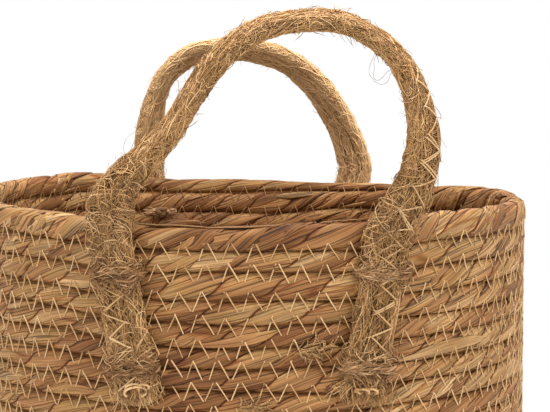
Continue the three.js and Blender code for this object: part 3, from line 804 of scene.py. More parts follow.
# the same jute painted paler, standing in for light on the far handle's shaded side
juteCordPaintedLight = juteMaterial("spunJuteCordPaintedLight", 0.8, [
    (0.3, "#8a6138"), (0.47, "#ae8250"), (0.64, "#c99b68"), (0.85, "#dfb585")])
juteFibre = strandMaterial("looseJuteFibre", 0.75, [
    (0, "#674525"), (0.3, "#a2773f"), (0.65, "#c79a66"), (1, "#e8c28e")])
juteYarn = strandMaterial("frayedJuteYarn", 0.75, [
    (0, "#66421f"), (0.35, "#94693f"), (0.7, "#b68c5f"), (1, "#d6b084")])
greyFibre = strandMaterial("looseGreyFibre", 0.75, [(0, "#8d8a80"), (1, "#aca89c")])

# Handles: a flat band of three jute cords, bent over as an arch, its legs flat on the wall
band = {
    "cordDiameter": 7.8,
    "cordPitch": 7.7,
    "legSpreadTop": 25.3,  # of a leg's top and end from the handle's middle, in degrees
    "legSpreadBottom": 20,
    "legLength": 86,
    "seatGap": 0.4,
    "lead": 26,
    "step": 1.6,
    "sides": 18,
    "strays": {"sideways": (18, 0.35), "outwards": (14, 0.3)},  # over what length a cord wanders, and how far
    "strands": {"waist": 0.88, "crease": 0.08, "creaseWidth": 0.25},  # section of a cord's three strands
    "leafAngle": 0.45,  # how steeply the fibres lie in a cord
    "hingeReach": 12,
    "onEdge": (55, 67), "sunkOnLeg": [0, 0, 0, 0.3, 0.8, 0.8],
}
# x is a share of the leg tops' distance from the middle, up a share of the rise, turn in degrees
nearArch = {
    "rise": 107,
    "route": [
        (-0.982, 0.107, 0), (-0.945, 0.158, 8), (-0.862, 0.241, 32), (-0.741, 0.326, 56),
        (-0.635, 0.402, 66), (-0.533, 0.485, 70), (-0.403, 0.638, 69), (-0.23, 0.803, 69),
        (-0.097, 0.887, 70), (0.084, 0.962, 73), (0.347, 1, 75), (0.641, 0.993, 75), (0.844, 0.928, 74),
        (1.002, 0.841, 70), (1.119, 0.726, 60), (1.199, 0.564, 42), (1.225, 0.448, 27),
        (1.211, 0.331, 10), (1.172, 0.214, 3), (1.095, 0.107, 0),
    ],
}
farArch = {
    "rise": 97.5,
    "route": [
        (-1.037, 0.117, 0), (-1.008, 0.185, 3), (-0.962, 0.309, 10), (-0.885, 0.443, 24),
        (-0.794, 0.563, 31), (-0.682, 0.695, 39), (-0.55, 0.801, 47), (-0.4, 0.89, 54),
        (-0.218, 0.954, 58), (-0.02, 0.988, 60), (0.176, 1, 60), (0.37, 0.986, 62), (0.557, 0.954, 64),
        (0.711, 0.88, 66), (0.838, 0.768, 66), (0.914, 0.632, 60), (0.953, 0.497, 44), (0.976, 0.355, 22),
        (0.977, 0.242, 7), (0.996, 0.117, 0),
    ],
}
pivots = {joint["name"]: np.array(joint["pos_m"]) / mm for joint in frame["joints"]}
handles = {
    "near_handle": {"azimuth": -90, "pivot": pivots["near_handle_swing"], "arch": nearArch, "fullness": 1.02,
                    "cordMaterial": juteCord, "tone": (0, 1)},
    "far_handle": {"azimuth": 90, "pivot": pivots["far_handle_swing"], "arch": farArch, "fullness": 1.07,
                   "cordMaterial": juteCordPaintedLight, "tone": (0.8, 1)},  # thicker, and painted paler: the same jute, lightened in place of the light its shaded side lacks
}
seatRadius = basket["radius"] + basket["ropeDepth"] / 2 + band["seatGap"] + band["cordDiameter"] / 2
legTopAside = seatRadius * math.sin(math.radians(band["legSpreadTop"]))


def smoothPath(rows, step):
    # a centripetal curve through rows of which the first three numbers are a point, at even steps
    p = np.vstack([2 * rows[0] - rows[1], rows, 2 * rows[-1] - rows[-2]])
    d = np.sqrt(np.linalg.norm(np.diff(p[:, :3], axis=0), axis=1))
    shares = np.linspace(0, 1, 40, endpoint=False)[:, None]
    parts = []
    for i in range(1, len(p) - 2):
        before, here, after = d[i - 1], d[i], d[i + 1]
        m1 = here * ((p[i] - p[i - 1]) / before - (p[i + 1] - p[i - 1]) / (before + here)
                     + (p[i + 1] - p[i]) / here)
        m2 = here * ((p[i + 1] - p[i]) / here - (p[i + 2] - p[i]) / (here + after)
                     + (p[i + 2] - p[i + 1]) / after)
        s = shares
        parts.append((2 * s**3 - 3 * s**2 + 1) * p[i] + (s**3 - 2 * s**2 + s) * m1
                     + (3 * s**2 - 2 * s**3) * p[i + 1] + (s**3 - s**2) * m2)
    fine = np.vstack(parts + [rows[-1:]])
    run = np.concatenate([[0], np.cumsum(np.linalg.norm(np.diff(fine[:, :3], axis=0), axis=1))])
    even = np.linspace(0, run[-1], int(run[-1] / step) + 1)
    return np.stack([np.interp(even, run, fine[:, i]) for i in range(fine.shape[1])], -1), even


def legSpread(share):
    # angle from the handle's middle, by the share of a leg's length below its top
    return math.radians(band["legSpreadTop"] + (band["legSpreadBottom"] - band["legSpreadTop"]) * share)


def bandRoute(handle):
    # middle line of the band with the direction that its outer face looks in
    azimuth = math.radians(handle["azimuth"])
    outward = np.array([math.cos(azimuth), math.sin(azimuth), 0])
    right = np.array([-outward[1], outward[0], 0])
    up = np.array([0, 0, 1.0])
    away = abs(handle["pivot"][1])

    def leg(side):
        rows = []
        for share in np.linspace(1, 0.05, 6):
            place = azimuth + side * legSpread(share)
            below = share * band["legLength"]
            wallOut = np.array([math.cos(place), math.sin(place), 0])
            shift = unevenness(place, outlineLength - below)[0]
            point = wallOut * (seatRadius + shift) + up * (rimAtHandles - below)
            rows.append(np.concatenate([point, wallOut]))
        return rows

    route, rise = handle["arch"]["route"], handle["arch"]["rise"]
    arch = [right * x * legTopAside + outward * away + up * (rimAtHandles + share * rise)
            for x, share, turn in route]
    rows = leg(-1)
    for i, (x, share, turn) in enumerate(route):
        along = unit(arch[min(i + 1, len(arch) - 1)] - arch[max(i - 1, 0)])
        aside = x * legTopAside / basket["radius"]
        wallOut = right * aside + outward * math.sqrt(1 - aside**2)
        wallOut = unit(wallOut - along * (wallOut @ along))
        archOut = unit(np.cross(outward, along))
        angle = math.radians(turn)
        rows.append(np.concatenate([arch[i], wallOut * math.cos(angle) + archOut * math.sin(angle)]))
    rows += leg(1)[::-1]
    path, run = smoothPath(np.array(rows), band["step"])
    points = path[:, :3]
    along = unit(np.gradient(points, axis=0))
    face = path[:, 3:] - along * (path[:, 3:] * along).sum(-1, keepdims=True)
    face = unit(face)
    # the sewing thread is sunk into the fibres towards the top of the left leg, on the left rise, and where
    # the band stands on edge
    start, stop = band["onEdge"]
    onArch = [1 if x < 0 else min(max((turn - start) / (stop - start), 0), 1) for x, share, turn in route]
    sunk = band["sunkOnLeg"] + onArch + [0] * 6
    sunk = np.interp(np.linspace(0, 1, len(run)), np.linspace(0, 1, len(sunk)), sunk)
    return {"points": points, "along": along, "face": face, "side": np.cross(along, face), "run": run,
            "sunk": sunk, "pitch": band["cordPitch"] * handle["fullness"],
            "radius": band["cordDiameter"] / 2 * handle["fullness"]}


def besideLine(line, run, aside, forward):
    # points beside a line, which holds its points, its side and its face by the run along it
    points, side, face = [np.stack([np.interp(run, line["run"], line[part][:, i]) for i in range(3)], -1)
                          for part in ("points", "side", "face")]
    return points + side * aside[..., None] + face * forward[..., None]


def cordLine(route, across, seed):
    # one cord of the band: its middle line, and how far it is twisted by each point
    wander, inOut = [size * slowNoise(route["run"], every, seed + 1 + i)[:, None]
                     for i, (every, size) in enumerate(band["strays"].values())]
    points = route["points"] + route["side"] * (across * route["pitch"] + wander) + route["face"] * inOut
    start = np.random.default_rng(seed).uniform(0, 6)
    return {**route, "points": points, "twist": start + route["run"] * 2 * math.pi / band["lead"]}


def cordPoint(cord, run, angle, height):
    # a point over the skin of a cord, angle 0 on the band's face and a quarter turn towards its inner side
    strands = band["strands"]
    place = (angle - np.interp(run, cord["run"], cord["twist"])) * 3 / (2 * math.pi)
    across = np.abs((place - np.floor(place)) * 2 - 1)
    share = strands["waist"] + (1 - strands["waist"]) * (1 - across ** 2.4)
    share = share - strands["crease"] * np.exp(-(((1 - across) / strands["creaseWidth"]) ** 2))
    radius = cord["radius"] * share + height
    return besideLine(cord, run, radius * np.sin(angle), radius * np.cos(angle))


def cordPiece(name, cord, nodes, handleName):
    sides = band["sides"]
    angle = cord["twist"][:, None] + np.arange(sides + 1) * 2 * math.pi / sides
    run = np.broadcast_to(cord["run"][:, None], angle.shape)
    points = cordPoint(cord, run[:, :-1], angle[:, :-1], 0.0)
    lay = np.stack([run, band["cordDiameter"] / 2 * angle - band["leafAngle"] * run], -1)
    piece = tubes(name, points[None], handles[handleName]["cordMaterial"], {"lay": lay[None]})
    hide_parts(*nodes)
    onHandle(piece)


def onHandle(piece):
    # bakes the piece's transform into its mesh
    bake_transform(piece)


# Lashings: a loop of soft, frayed yarn round each leg and through the wall, knotted inside
lashings = {
    "yarn": 3.6, "upperDepth": 24, "lowerRise": 16, "bandGap": -0.5, "strands": 12, "strandRadius": 0.42,
    "lead": 34, "step": 1.2, "flatness": 1.6, "tone": {"left": (0.1, 0.75), "right": (0.2, 1)},
    # it bulges beside the leg's edges: least size, what is added, where and how wide
    "lobes": (0.8, 0.75, 6, 3.5),
    # its strands wander: over what length, by what share of the reach, and how far round
    "strays": (9, 0.55, 0.9),
    "hairs": {"count": 220, "length": (6, 18), "standOff": (0, 2.4), "thickness": 1},
    "tufts": {"count": 110, "length": (6, 14), "standOff": (2.5, 7.5), "thickness": 1.5},  # beside the leg
    "hairThickness": (0.8, 1.4), "hairTaper": [0.6, 1, 1, 1, 1, 1, 0.5],
    "hairReach": (0.7, 1.15),  # where a hair starts, in shares of the yarn's radius
    "yarnEnd": 15,  # a longer step along the yarn is one over its own end
}
knots = {
    # the knot and its tails take the yarn's darkest tones: painted shade inside the wall
    "width": 9, "rise": 5.5, "depth": 1.6, "tone": (0, 0.1), "thickness": 1.3, "points": 72,
    "tails": 36, "tailLength": (3, 7), "tailRadius": 0.26, "tailTaper": [1, 1, 1, 0.9, 0.8, 0.7, 0.4],
    "tailAside": 0.55, "tailDroop": 0.8,  # how far a tail goes sideways and down, in shares of its length
    "tailStrays": (0.5, 0.4), "tailDepth": 1.6,
}

# Loose fibres: most lie matted on the band, some curl off it, above all where it bends over the rim
fibres = {
    "seed": 71,
    "radius": 0.16,
    "onBand": 0.25,  # share that lies over all three cords, the others on one of them
    "inLocks": 0.8,  # share that is matted together in locks, with darker gaps between them
    "lockSize": 9,
    "lockSpread": (6, 0.6),  # along the band and across it
    "lockHeading": 0.35,  # how far a fibre's heading still differs from its lock's
    "wander": 0.14,
    "bends": (0.3, 1.2),  # share of its kind's curl that a fibre has
    "thickness": (0.65, 1.3), "endTaper": 0.5,
    "archFrom": 34,  # how far above the rim the fibres of the arch begin
    "atRimSpread": 13, "overLashingSpread": 3,
    "tucked": 0.45, "freeTucked": 0.3,  # how deep the ends are
    "girth": 60,  # more than once round the band
    "mostInOne": 6000,  # more of a kind are two pieces
}
fibreKinds = {
    "lying": {"points": 5, "length": (9, 24), "slope": 0.35, "curl": 0.14, "lift": (-0.2, 0.35), "size": 1},
    "strand": {"points": 8, "length": (18, 44), "slope": 0.3, "curl": 0.14, "lift": (0, 0.7), "size": 2.1},
    # the arch's fibres leave out the darkest tones: painted light, as its top is lit from above
    "onArch": {"points": 5, "length": (10, 26), "slope": 0.35, "curl": 0.14, "lift": (-0.1, 0.4), "size": 1.1,
               "darkest": 0.4},
    "overLashing": {"points": 7, "length": (7, 16), "slope": 0.9, "curl": 0.4, "lift": (2, 4), "size": 1.3},
    "curled": {"points": 8, "length": (8, 18), "slope": 1.5, "curl": 0.55, "lift": (0.1, 1.3), "size": 1.25},
    "atRim": {"points": 8, "length": (12, 28), "slope": 1.8, "curl": 0.55, "lift": (0.6, 3.4), "size": 1.1},
    "stray": {"points": 6, "length": (6, 15), "slope": 0.9, "curl": 0.3, "lift": (1.5, 4.5), "size": 0.9},
}
fibreCounts = {
    "near_handle": {"lying": 8600, "strand": 1900, "onArch": 2600, "overLashing": 380, "curled": 1400,
                    "atRim": 620, "stray": 650},
    "far_handle": {"lying": 4200, "strand": 900, "onArch": 2000, "overLashing": 120, "curled": 500,
                   "atRim": 130, "stray": 240},
}


def bandSkin(route, run, girth, height):
    # a point over the band, its three cords taken as one flat shape
    # girth is the way round it from the middle of its face
    half, radius = route["pitch"], route["radius"]
    corners = np.cumsum([0, half, math.pi * radius, 2 * half, math.pi * radius, half])
    girth = girth % corners[-1]
    middle = np.interp(girth, corners, [0, half, half, -half, -half, 0])
    turn = np.interp(girth, corners, np.array([0, 0, 1, 1, 2, 2]) * math.pi)
    reach = radius + height
    return besideLine(route, run, middle + reach * np.sin(turn), reach * np.cos(turn))


def fibrePiece(name, route, cords, handleName, kindName, count, seed):
    random = np.random.default_rng(seed)
    kind = fibreKinds[kindName]
    steps, each = kind["points"], (count, 1)
    shares = np.linspace(0, 1, steps)
    stepLength = random.uniform(*kind["length"], each) / (steps - 1)
    bend = random.choice([-1, 1], each) * random.uniform(*fibres["bends"], each) * kind["curl"]
    locks = int(count / fibres["lockSize"]) + 1
    lock = random.integers(0, locks, count)
    matted = kindName in ("lying", "strand", "onArch")
    inLock = (random.uniform(0, 1, count) < fibres["inLocks"])[:, None] & matted
    heading = random.normal(0, kind["slope"], each) * np.where(inLock, fibres["lockHeading"], 1)
    heading = heading + bend * np.arange(steps)
    heading = heading + np.where(inLock, random.normal(0, kind["slope"], (locks, 1))[lock], 0)
    heading = heading + np.cumsum(random.normal(0, fibres["wander"], (count, steps)), 1)
    along = np.cumsum(np.cos(heading) * stepLength, 1)
    around = np.cumsum(np.sin(heading) * stepLength, 1)

    last, leg = route["run"][-1], band["legLength"]
    lockAlong, lockAcross = fibres["lockSpread"]
    start = np.where(inLock, random.uniform(0, last, (locks, 1))[lock] + random.normal(0, lockAlong, each),
                     random.uniform(0, last, each))
    start = np.clip(start, 0, last)
    onRight = random.uniform(0, 1, each) < 0.5
    if kindName == "atRim":
        start = np.where(onRight, last - leg, leg) + random.normal(0, fibres["atRimSpread"], each)
    if kindName == "onArch":
        start = leg + fibres["archFrom"] + start / last * (last - 2 * (leg + fibres["archFrom"]))
    if kindName == "overLashing":
        atLower = random.uniform(0, 1, each) < 0.5
        fromEnd = np.where(atLower, lashings["lowerRise"], leg - lashings["upperDepth"])
        fromEnd = fromEnd + random.normal(0, fibres["overLashingSpread"], each)
        start = np.where(onRight, last - fromEnd, fromEnd)
    run = start + along - along.mean(1, keepdims=True)
    lift = random.uniform(*kind["lift"], each)
    if kindName == "stray":
        height = -fibres["freeTucked"] + (lift + fibres["freeTucked"]) * shares ** 1.4
    else:
        height = -fibres["tucked"] + (lift + fibres["tucked"]) * np.sin(math.pi * shares) ** 0.6

    onBand = random.uniform(0, 1, count) < fibres["onBand"]
    which = np.where(inLock[:, 0], random.integers(0, len(cords), locks)[lock],
                     random.integers(0, len(cords), count))
    lockAside = random.normal(0, lockAcross, each)
    girth = np.where(inLock, random.uniform(0, fibres["girth"], (locks, 1))[lock] + lockAside,
                     random.uniform(0, fibres["girth"], each))
    paths = bandSkin(route, run, girth + around, height)
    lockAngle = random.uniform(-math.pi, math.pi, (locks, 1))[lock] + lockAside / route["radius"]
    angle = np.where(inLock, lockAngle, random.uniform(-math.pi, math.pi, each)) + around / route["radius"]
    for i, cord in enumerate(cords):
        mine = (which == i) & ~onBand
        paths[mine] = cordPoint(cord, run[mine], angle[mine], height[mine])
    taper = np.where((shares == 0) | (shares == 1), fibres["endTaper"], 1)
    radii = fibres["radius"] * kind["size"] * random.uniform(*fibres["thickness"], each) * taper
    tone = random.uniform(0, 1, count)
    tone = np.where(inLock[:, 0], 0.5 * tone + 0.5 * random.uniform(0, 1, locks)[lock], tone)
    # the far handle's fibres are painted paler, standing in for light on its shaded side
    darkest, lightest = handles[handleName]["tone"]
    darkest = max(darkest, kind.get("darkest", 0))
    piece = strandTubes(name, paths, radii, 3, juteFibre, darkest + (lightest - darkest) * tone)
    onHandle(piece)


# The cut ends of the legs: a brush of fibres, and loops of yarn that hang out of it
legEnds = {
    "fibres": 380, "length": (0, 11), "splay": 0.34, "curl": 1.7, "inset": 7, "taper": [1, 1, 1, 1, 1, 0.5],
    "thickness": (0.8, 1.5),
    "beyond": 0.8, "depth": (-0.8, 0.9),  # where in the band they start, in shares of a cord's radius
    "loops": 3, "loopRadius": 0.7, "loopSize": {"left": (3.5, 7.5), "right": (1.2, 3.2)},
    "loopTurn": (-0.35, 1.2), "loopPoints": 14,  # in half turns
    "loopAside": 7, "loopBelow": (-1, 3), "loopFlatness": 0.45, "loopTone": (0.4, 0.95),
}


def legEndPiece(handleName, sideName, route, seed):
    random = np.random.default_rng(seed)
    at, onward = {"left": (0, -1), "right": (-1, 1)}[sideName]
    down, side, face = onward * route["along"][at], route["side"][at], route["face"][at]

    def fromEnd(below, across, outward):
        return (route["points"][at] + below[..., None] * down + across[..., None] * side
                + outward[..., None] * face)

    each = (legEnds["fibres"], 1)
    shares = np.linspace(0, 1, len(legEnds["taper"]))
    aside = random.uniform(-1, 1, each) * (route["pitch"] + route["radius"] * legEnds["beyond"])
    forward = random.uniform(*legEnds["depth"], each) * route["radius"]
    length = random.uniform(*legEnds["length"], each) + legEnds["inset"]
    sway = random.normal(0, legEnds["splay"], (2, *each)) * shares ** 1.3
    curl = random.normal(0, legEnds["curl"], (2, *each))
    curl = curl * np.sin(math.pi * shares * random.uniform(1, 2.4, each))
    outward = np.maximum(forward + length * (0.5 * sway[1] + 0.05 * shares) + curl[1], -route["radius"])
    paths = fromEnd(length * shares - legEnds["inset"], aside + length * sway[0] + curl[0], outward)
    radii = fibres["radius"] * random.uniform(*legEnds["thickness"], each) * legEnds["taper"]
    brush = strandTubes(f"{handleName}_{sideName}_end_brush", paths, radii, 3, juteFibre,
                        random.uniform(0, 1, legEnds["fibres"]))

    each = (legEnds["loops"], 1)
    turn = np.linspace(*legEnds["loopTurn"], legEnds["loopPoints"]) * math.pi
    size = random.uniform(*legEnds["loopSize"][sideName], each)
    across = random.uniform(-legEnds["loopAside"], legEnds["loopAside"], each)
    across = across + size * np.cos(turn) * random.choice([-1, 1], each)
    below = random.uniform(*legEnds["loopBelow"], each) - legEnds["loopFlatness"] * size * np.sin(turn)
    outward = route["radius"] + 0.7 + random.uniform(-0.2, 0.5, each) - 0.8 * np.cos(turn * 1.3)
    tone = random.uniform(*legEnds["loopTone"], legEnds["loops"])
    yarn = strandTubes(f"{handleName}_{sideName}_end_loops", fromEnd(below, across, outward),
                       legEnds["loopRadius"], 6, juteFibre, tone)
    onBasketBody(brush, "jute_cord")
    onBasketBody(yarn, "jute_cord")


bandStitches = {
    "period": 14.0, "strays": 0.6, "aside": -0.3, "reach": 6.3, "reachSpread": (0.8, 1.12), "radius": 0.47,
    "doubled": 0.3, "doubleGap": (0.9, 1.9), "pulledIn": 1.8,
    "shares": [-0.06, 0.03, 0.28, 0.5, 0.72, 0.97, 1.06],
    "height": [-1.2, 0.7, 1.15, 1.1, 1.15, 0.7, -1.2],
}


def bandThread(name, route, seed):
    # zigzag over the seam between the outer and the middle cord, on the band's face, some strokes doubled
    random = np.random.default_rng(seed)
    half = bandStitches["period"] / 2
    single = int(route["run"][-1] / half)
    twice = np.sort(random.choice(single, int(single * bandStitches["doubled"]), replace=False))
    order = np.concatenate([np.arange(single), twice])
    count = len(order)
    start = order * half + random.uniform(-bandStitches["strays"], bandStitches["strays"], count)
    start[single:] += random.uniform(*bandStitches["doubleGap"], count - single)
    sign = np.where(order % 2 == 0, 1, -1)[:, None]
    shares = np.array(bandStitches["shares"])
    run = start[:, None] + half * shares
    reach = bandStitches["reach"] * random.uniform(*bandStitches["reachSpread"], (count, 1))
    side = bandStitches["aside"] * route["pitch"] + sign * reach * (2 * shares - 1)
    beyond = np.maximum(np.abs(side) - route["pitch"], 0)
    height = np.sqrt(np.maximum(route["radius"] ** 2 - beyond ** 2, 0)) + bandStitches["height"]
    height = height - bandStitches["pulledIn"] * np.interp(run, route["run"], route["sunk"])
    piece = strandTubes(name, besideLine(route, run, side, height), bandStitches["radius"], 5, thread,
                        random.uniform(0.5, 0.95, count))
    onHandle(piece)


for index, (handleName, handle) in enumerate(handles.items()):
    route = bandRoute(handle)
    cords = []
    for cordName, across in {"inner": 1, "middle": 0, "outer": -1}.items():
        cord = cordLine(route, across, 51 + 10 * index + across)
        nodes = [f"{handleName}_{cordName}_cord"]
        nodes += [f"{handleName}_{side}_leg_{cordName}_cord" for side in ("left", "right")]
        cordPiece(f"{handleName}_{cordName}_jute", cord, nodes, handleName)
        cords.append(cord)
    for number, (kindName, count) in enumerate(fibreCounts[handleName].items()):
        parts = 1 if count < fibres["mostInOne"] else 2
        for part in range(parts):
            pieceName = f"{handleName}_{kindName}_fibres" + ("" if parts == 1 else f"_{part + 1}")
            seed = fibres["seed"] + 20 * index + 2 * number + part
            fibrePiece(pieceName, route, cords, handleName, kindName, count // parts, seed)
    bandThread(f"{handleName}_thread", route, 81 + index)
    legEndPiece(handleName, "left", route, 91 + index)
    legEndPiece(handleName, "right", route, 95 + index)

# Long hairs that stand off the near handle: each point to the right of its middle and above the rim
hairs = {
    "radius": 0.11,
    "left": [(-57, 49), (-60.5, 48.8), (-64.3, 46), (-66.4, 41.8), (-65.9, 37.6), (-62.5, 33)],
    "right": [(69, 94), (65.6, 89.8), (64.2, 86.5), (62.8, 82.6), (62.8, 79.4), (64.6, 76.8), (66.1, 75.1),
              (68.8, 73.8), (71.4, 74.2), (73.2, 76.3), (74, 78.9), (79, 84)],
    "right_inner": [(68, 93), (65.9, 88.3), (65.2, 85.7), (65.5, 82), (65, 79), (65.3, 77), (67.2, 75.8),
                    (68.8, 76.6), (70.3, 77.9), (72, 80), (77, 83)],
}
for sideName in ("left", "right", "right_inner"):
    spots = np.array(hairs[sideName], float)
    away = handles["near_handle"]["pivot"][1] + np.linspace(-2, 2, len(spots))
    path, run = smoothPath(np.stack([spots[:, 0], away, rimAtHandles + spots[:, 1]], -1), 1.0)
    pieceName = f"near_handle_{sideName}_hair"
    piece = strandTubes(pieceName, path[None], hairs["radius"], 4, greyFibre, np.array([0.5]))
    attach(piece, "near_handle")
print("handles bound")


def lashingLoop(handleName, sideName, level):
    # middle line of the yarn, and where its knot is
    side = {"left": -1, "right": 1}[sideName]
    depth = lashings["upperDepth"] if level == "upper" else band["legLength"] - lashings["lowerRise"]
    azimuth = math.radians(handles[handleName]["azimuth"]) + side * legSpread(depth / band["legLength"])
    turns = (azimuth - math.radians(basket["ropeEndAzimuth"])) / (2 * math.pi) % 1
    seams = outlineLength - (turns + np.arange(30)) * basket["rowPitch"] - basket["rowPitch"] / 2
    wanted = outlineLength + basket["ropeHeight"] / 2 - (basket["height"] - rimAtHandles) - depth
    row = np.argmin(np.abs(seams - wanted))
    seam = seams[row] + seamAt(turns + row + 1)
    c = lashings["yarn"]
    w = band["cordPitch"] + band["cordDiameter"] / 2 + lashings["bandGap"] + c / 2
    over = seatRadius - basket["radius"] + band["cordDiameter"] / 2 + c / 3
    inside = -basket["ropeDepth"] / 2 - 0.2  # sunk into the groove between two rows
    half = [(4, over), (w - c, over - 0.3), (w - 0.3 * c, over - 0.4 * c), (w, over - 1.4 * c),
            (w, (over + inside) / 2), (w, inside + c), (w - 0.3 * c, inside + 0.3 * c), (w - c, inside)]
    outline = half + [(-x, r) for x, r in reversed(half)]
    rows = np.zeros((len(outline) + 1, 3))
    rows[:, :2] = outline + outline[:1]
    path, run = smoothPath(rows, lashings["step"])
    points = onBasket(azimuth + path[:, 0] / basket["radius"], np.full(len(path), seam), path[:, 1])
    return points, run, onBasket(np.array(azimuth), np.array(seam), inside - 1.2), azimuth


def knotPieces(name, centre, azimuth, seed):
    # the yarn's two ends, tied inside the wall: a flat overhand knot with its tails
    random = np.random.default_rng(seed)
    outward = np.array([math.cos(azimuth), math.sin(azimuth), 0])
    sideways = np.array([-outward[1], outward[0], 0])

    def fromCentre(x, up, deep):
        upward = np.array([0, 0, 1.0])
        return centre + x[..., None] * sideways + up[..., None] * upward + deep[..., None] * outward

    turn = np.linspace(0, 2 * math.pi, knots["points"])
    half = knots["width"] / 2 - lashings["yarn"] / 3
    middle = fromCentre((np.sin(turn) + 2 * np.sin(2 * turn)) / 3 * half,
                        (np.cos(turn) - 2 * np.cos(2 * turn)) / 3 * knots["rise"] / 2,
                        -np.sin(3 * turn) * knots["depth"] / 2)
    strands = lashings["strands"] // 2
    beside = unit(np.cross(unit(np.gradient(middle, axis=0)), outward))
    lay = (np.arange(strands)[:, None] * 2 * math.pi / strands + turn * 3)[..., None]
    paths = middle + lashings["yarn"] / 3 * (np.cos(lay) * beside + np.sin(lay) * outward)
    knot = strandTubes(name, paths, lashings["strandRadius"] * knots["thickness"], 6, juteYarn,
                       random.uniform(*knots["tone"], strands))

    each = (knots["tails"], 1)
    shares = np.linspace(0, 1, len(knots["tailTaper"]))
    sign = np.where(np.arange(knots["tails"]) % 2 == 0, 1, -1)[:, None]
    length = random.uniform(*knots["tailLength"], each)
    aside, upright = [random.normal(0, spread, each) * (1 + 2 * shares) for spread in knots["tailStrays"]]
    x = sign * (half / 2 + length * knots["tailAside"] * shares) + aside
    up = -length * knots["tailDroop"] * shares ** 1.6 + upright
    deep = -0.6 - random.uniform(0, knots["tailDepth"], each) * (1 - 0.4 * shares)
    radii = knots["tailRadius"] * np.array([knots["tailTaper"]])
    tails = strandTubes(f"{name}_tails", fromCentre(x, up, deep), radii, 4, juteYarn,
                        random.uniform(*knots["tone"], knots["tails"]))
    onBasketBody(knot, "jute_yarn")
    onBasketBody(tails, "jute_yarn")


def lashingPieces(handleName, sideName, level, seed):
    random = np.random.default_rng(seed)
    points, run, knotAt, azimuth = lashingLoop(handleName, sideName, level)
    upward = np.broadcast_to(np.array([0, 0, 1.0]), points.shape)
    side = unit(np.cross(unit(np.gradient(points, axis=0)), upward))
    line = {"run": run, "points": points, "side": side, "face": upward}
    name = f"{handleName}_{sideName}_{level}"
    yarn, strands, tone = lashings["yarn"], lashings["strands"], lashings["tone"][sideName]

    def aroundYarn(angle, distance, where):
        least, added, place, width = lashings["lobes"]
        fromMiddle = np.minimum(where, run[-1] - where)
        distance = distance * (least + added * np.exp(-(((fromMiddle - place) / width) ** 2)))
        return besideLine(line, where, distance / lashings["flatness"] * np.cos(angle),
                          distance * lashings["flatness"] * 0.8 * np.sin(angle))

    where = np.broadcast_to(run, (strands, len(run)))
    turn = np.arange(strands)[:, None] * 2 * math.pi / strands + where * 2 * math.pi / lashings["lead"]
    every, inOut, aroundBy = lashings["strays"]
    wander = np.stack([slowNoise(run, every, seed + i) for i in range(2 * strands)])
    reach = (yarn / 2 - lashings["strandRadius"]) * (1 + inOut * wander[:strands])
    paths = aroundYarn(turn + aroundBy * wander[strands:], reach, where)
    radii = lashings["strandRadius"] * (1 + 0.2 * np.roll(wander[:strands], 3, axis=1))
    piece = strandTubes(f"{name}_yarn", paths, radii, 7, juteYarn, random.uniform(*tone, strands))
    onBasketBody(piece, "jute_yarn", f"{name}_lashing")
    knotPieces(f"{name}_knot", knotAt, azimuth, seed + 7)

    # hairs along the yarn, and tufts where it goes into the wall beside the leg
    hairKind, tuftKind = lashings["hairs"], lashings["tufts"]
    total = hairKind["count"] + tuftKind["count"]
    each = (total, 1)
    shares = np.linspace(0, 1, len(lashings["hairTaper"]))
    isTuft = (np.arange(total) >= hairKind["count"])[:, None]
    length = np.where(isTuft, *[random.uniform(*kind["length"], each) for kind in (tuftKind, hairKind)])
    corner = yarn + band["cordPitch"] + 1
    besideLeg = random.choice([corner, run[-1] - corner - 8], each) + random.normal(0, 1.2, each)
    start = np.where(isTuft, besideLeg, random.uniform(0, run[-1], each))
    place = (start + length * shares * random.choice([-1, 1], each)) % run[-1]
    jumps = np.abs(np.diff(place, axis=1, prepend=place[:, :1])) > lashings["yarnEnd"]
    distance = yarn / 2 * random.uniform(*lashings["hairReach"], each)
    free = np.where(isTuft, *[random.uniform(*kind["standOff"], each) for kind in (tuftKind, hairKind)])
    angle = random.uniform(0, 2 * math.pi, each) + random.normal(0, 0.5, each) * shares
    paths = aroundYarn(angle, distance + free * shares ** 1.5, np.where(jumps, start, place))
    radii = fibres["radius"] * random.uniform(*lashings["hairThickness"], each) * lashings["hairTaper"]
    radii = radii * np.where(isTuft, tuftKind["thickness"], hairKind["thickness"])
    piece = strandTubes(f"{name}_hairs", paths, radii, 3, juteYarn, random.uniform(*tone, total))
    onBasketBody(piece, "jute_yarn")


for index, handleName in enumerate(handles):
    for sideIndex, sideName in enumerate(("left", "right")):
        for levelIndex, level in enumerate(("upper", "lower")):
            lashingPieces(handleName, sideName, level, 201 + 100 * index + 40 * sideIndex + 20 * levelIndex)
print("lashings tied")

# Floor, light and camera
view = {"away": 968, "height": 324, "lens": 100.5, "down": 4.9, "aside": 0.94}
stage = {
    "floorRadius": 1.4, "floorColour": "#e9e7e3", "skyStrength": 0.7,
    "whiteFrom": 0.32, "whiteBy": 0.75,  # how far from the basket the floor turns white
    "lampsLookAt": 0.2,
}
bpy.ops.mesh.primitive_circle_add(vertices=96, radius=stage["floorRadius"], fill_type="NGON",
                                  location=(0, 0, 0))
floor = bpy.context.active_object
floor.name = "floor"


def seenRays(material):
    # 1 for what the camera sees, also by reflection and through clear things
    rays = addNode(material, "LightPath").outputs
    seen = addNode(material, "Math", [rays["Is Camera Ray"], rays["Is Glossy Ray"]], operation="MAXIMUM")
    return addNode(material, "Math", [seen, rays["Is Transmission Ray"]], operation="MAXIMUM")


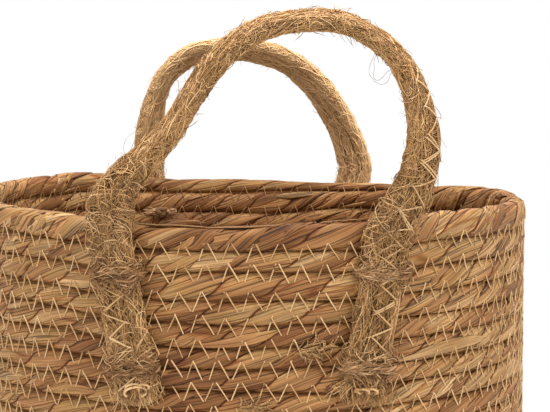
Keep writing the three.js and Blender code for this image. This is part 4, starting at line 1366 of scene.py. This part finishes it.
def floorMaterial():
    # matt paper that runs out into the white of the background, and keeps the basket's shadow
    material = newMaterial("paperFloor")
    setSurface(material, {"Base Color": colour(stage["floorColour"]), "Roughness": 0.9})
    place = addNode(material, "TexCoord")
    away = addNode(material, "VectorMath", [place.outputs["Object"]], operation="LENGTH")
    whiten = addNode(material, "MapRange", [away.outputs["Value"], stage["whiteFrom"], stage["whiteBy"]],
                     interpolation_type="SMOOTHSTEP")
    share = addNode(material, "Math", [whiten, seenRays(material)], operation="MULTIPLY")
    white = addNode(material, "Emission", {"Color": (1, 1, 1, 1), "Strength": 1.0})
    both = addNode(material, "MixShader", [share, material.node_tree.nodes["Principled BSDF"], white])
    fillInputs(material.node_tree, material.node_tree.nodes["Material Output"], {"Surface": both})
    return material


floor.data.materials.append(floorMaterial())

world = bpy.data.worlds.new("studio")
bpy.context.scene.world = world
world.use_nodes = True
strength = addNode(world, "MapRange", {
    "Value": seenRays(world), "To Min": stage["skyStrength"], "To Max": 1.0})
fillInputs(world.node_tree, world.node_tree.nodes["Background"], {
    "Color": (1, 1, 1, 1), "Strength": strength})

lamps = {
    "keyLamp": {"place": (1.0, -0.7, 1.6), "size": 1.1, "power": 16},
    "fillLamp": {"place": (-1.3, -1.2, 0.6), "size": 1.4, "power": 5},
    "topLamp": {"place": (0.0, -0.15, 1.5), "size": 0.9, "power": 25},
}
for lampName, lamp in lamps.items():
    bpy.ops.object.light_add(type="AREA", location=lamp["place"])
    light = bpy.context.active_object
    light.name = lampName
    light.data.size = lamp["size"]
    light.data.energy = lamp["power"]
    toBasket = Vector((0, 0, stage["lampsLookAt"])) - Vector(lamp["place"])
    light.rotation_euler = toBasket.to_track_quat("-Z", "Y").to_euler()

bpy.ops.object.camera_add(location=(0, -view["away"] * mm, view["height"] * mm))
camera = bpy.context.active_object
camera.rotation_euler = (math.radians(90 - view["down"]), 0, math.radians(-view["aside"]))
camera.data.lens = view["lens"]
camera.data.sensor_width = 36
bpy.context.scene.camera = camera
bpy.context.scene.view_settings.view_transform = "Standard"

print("stage")
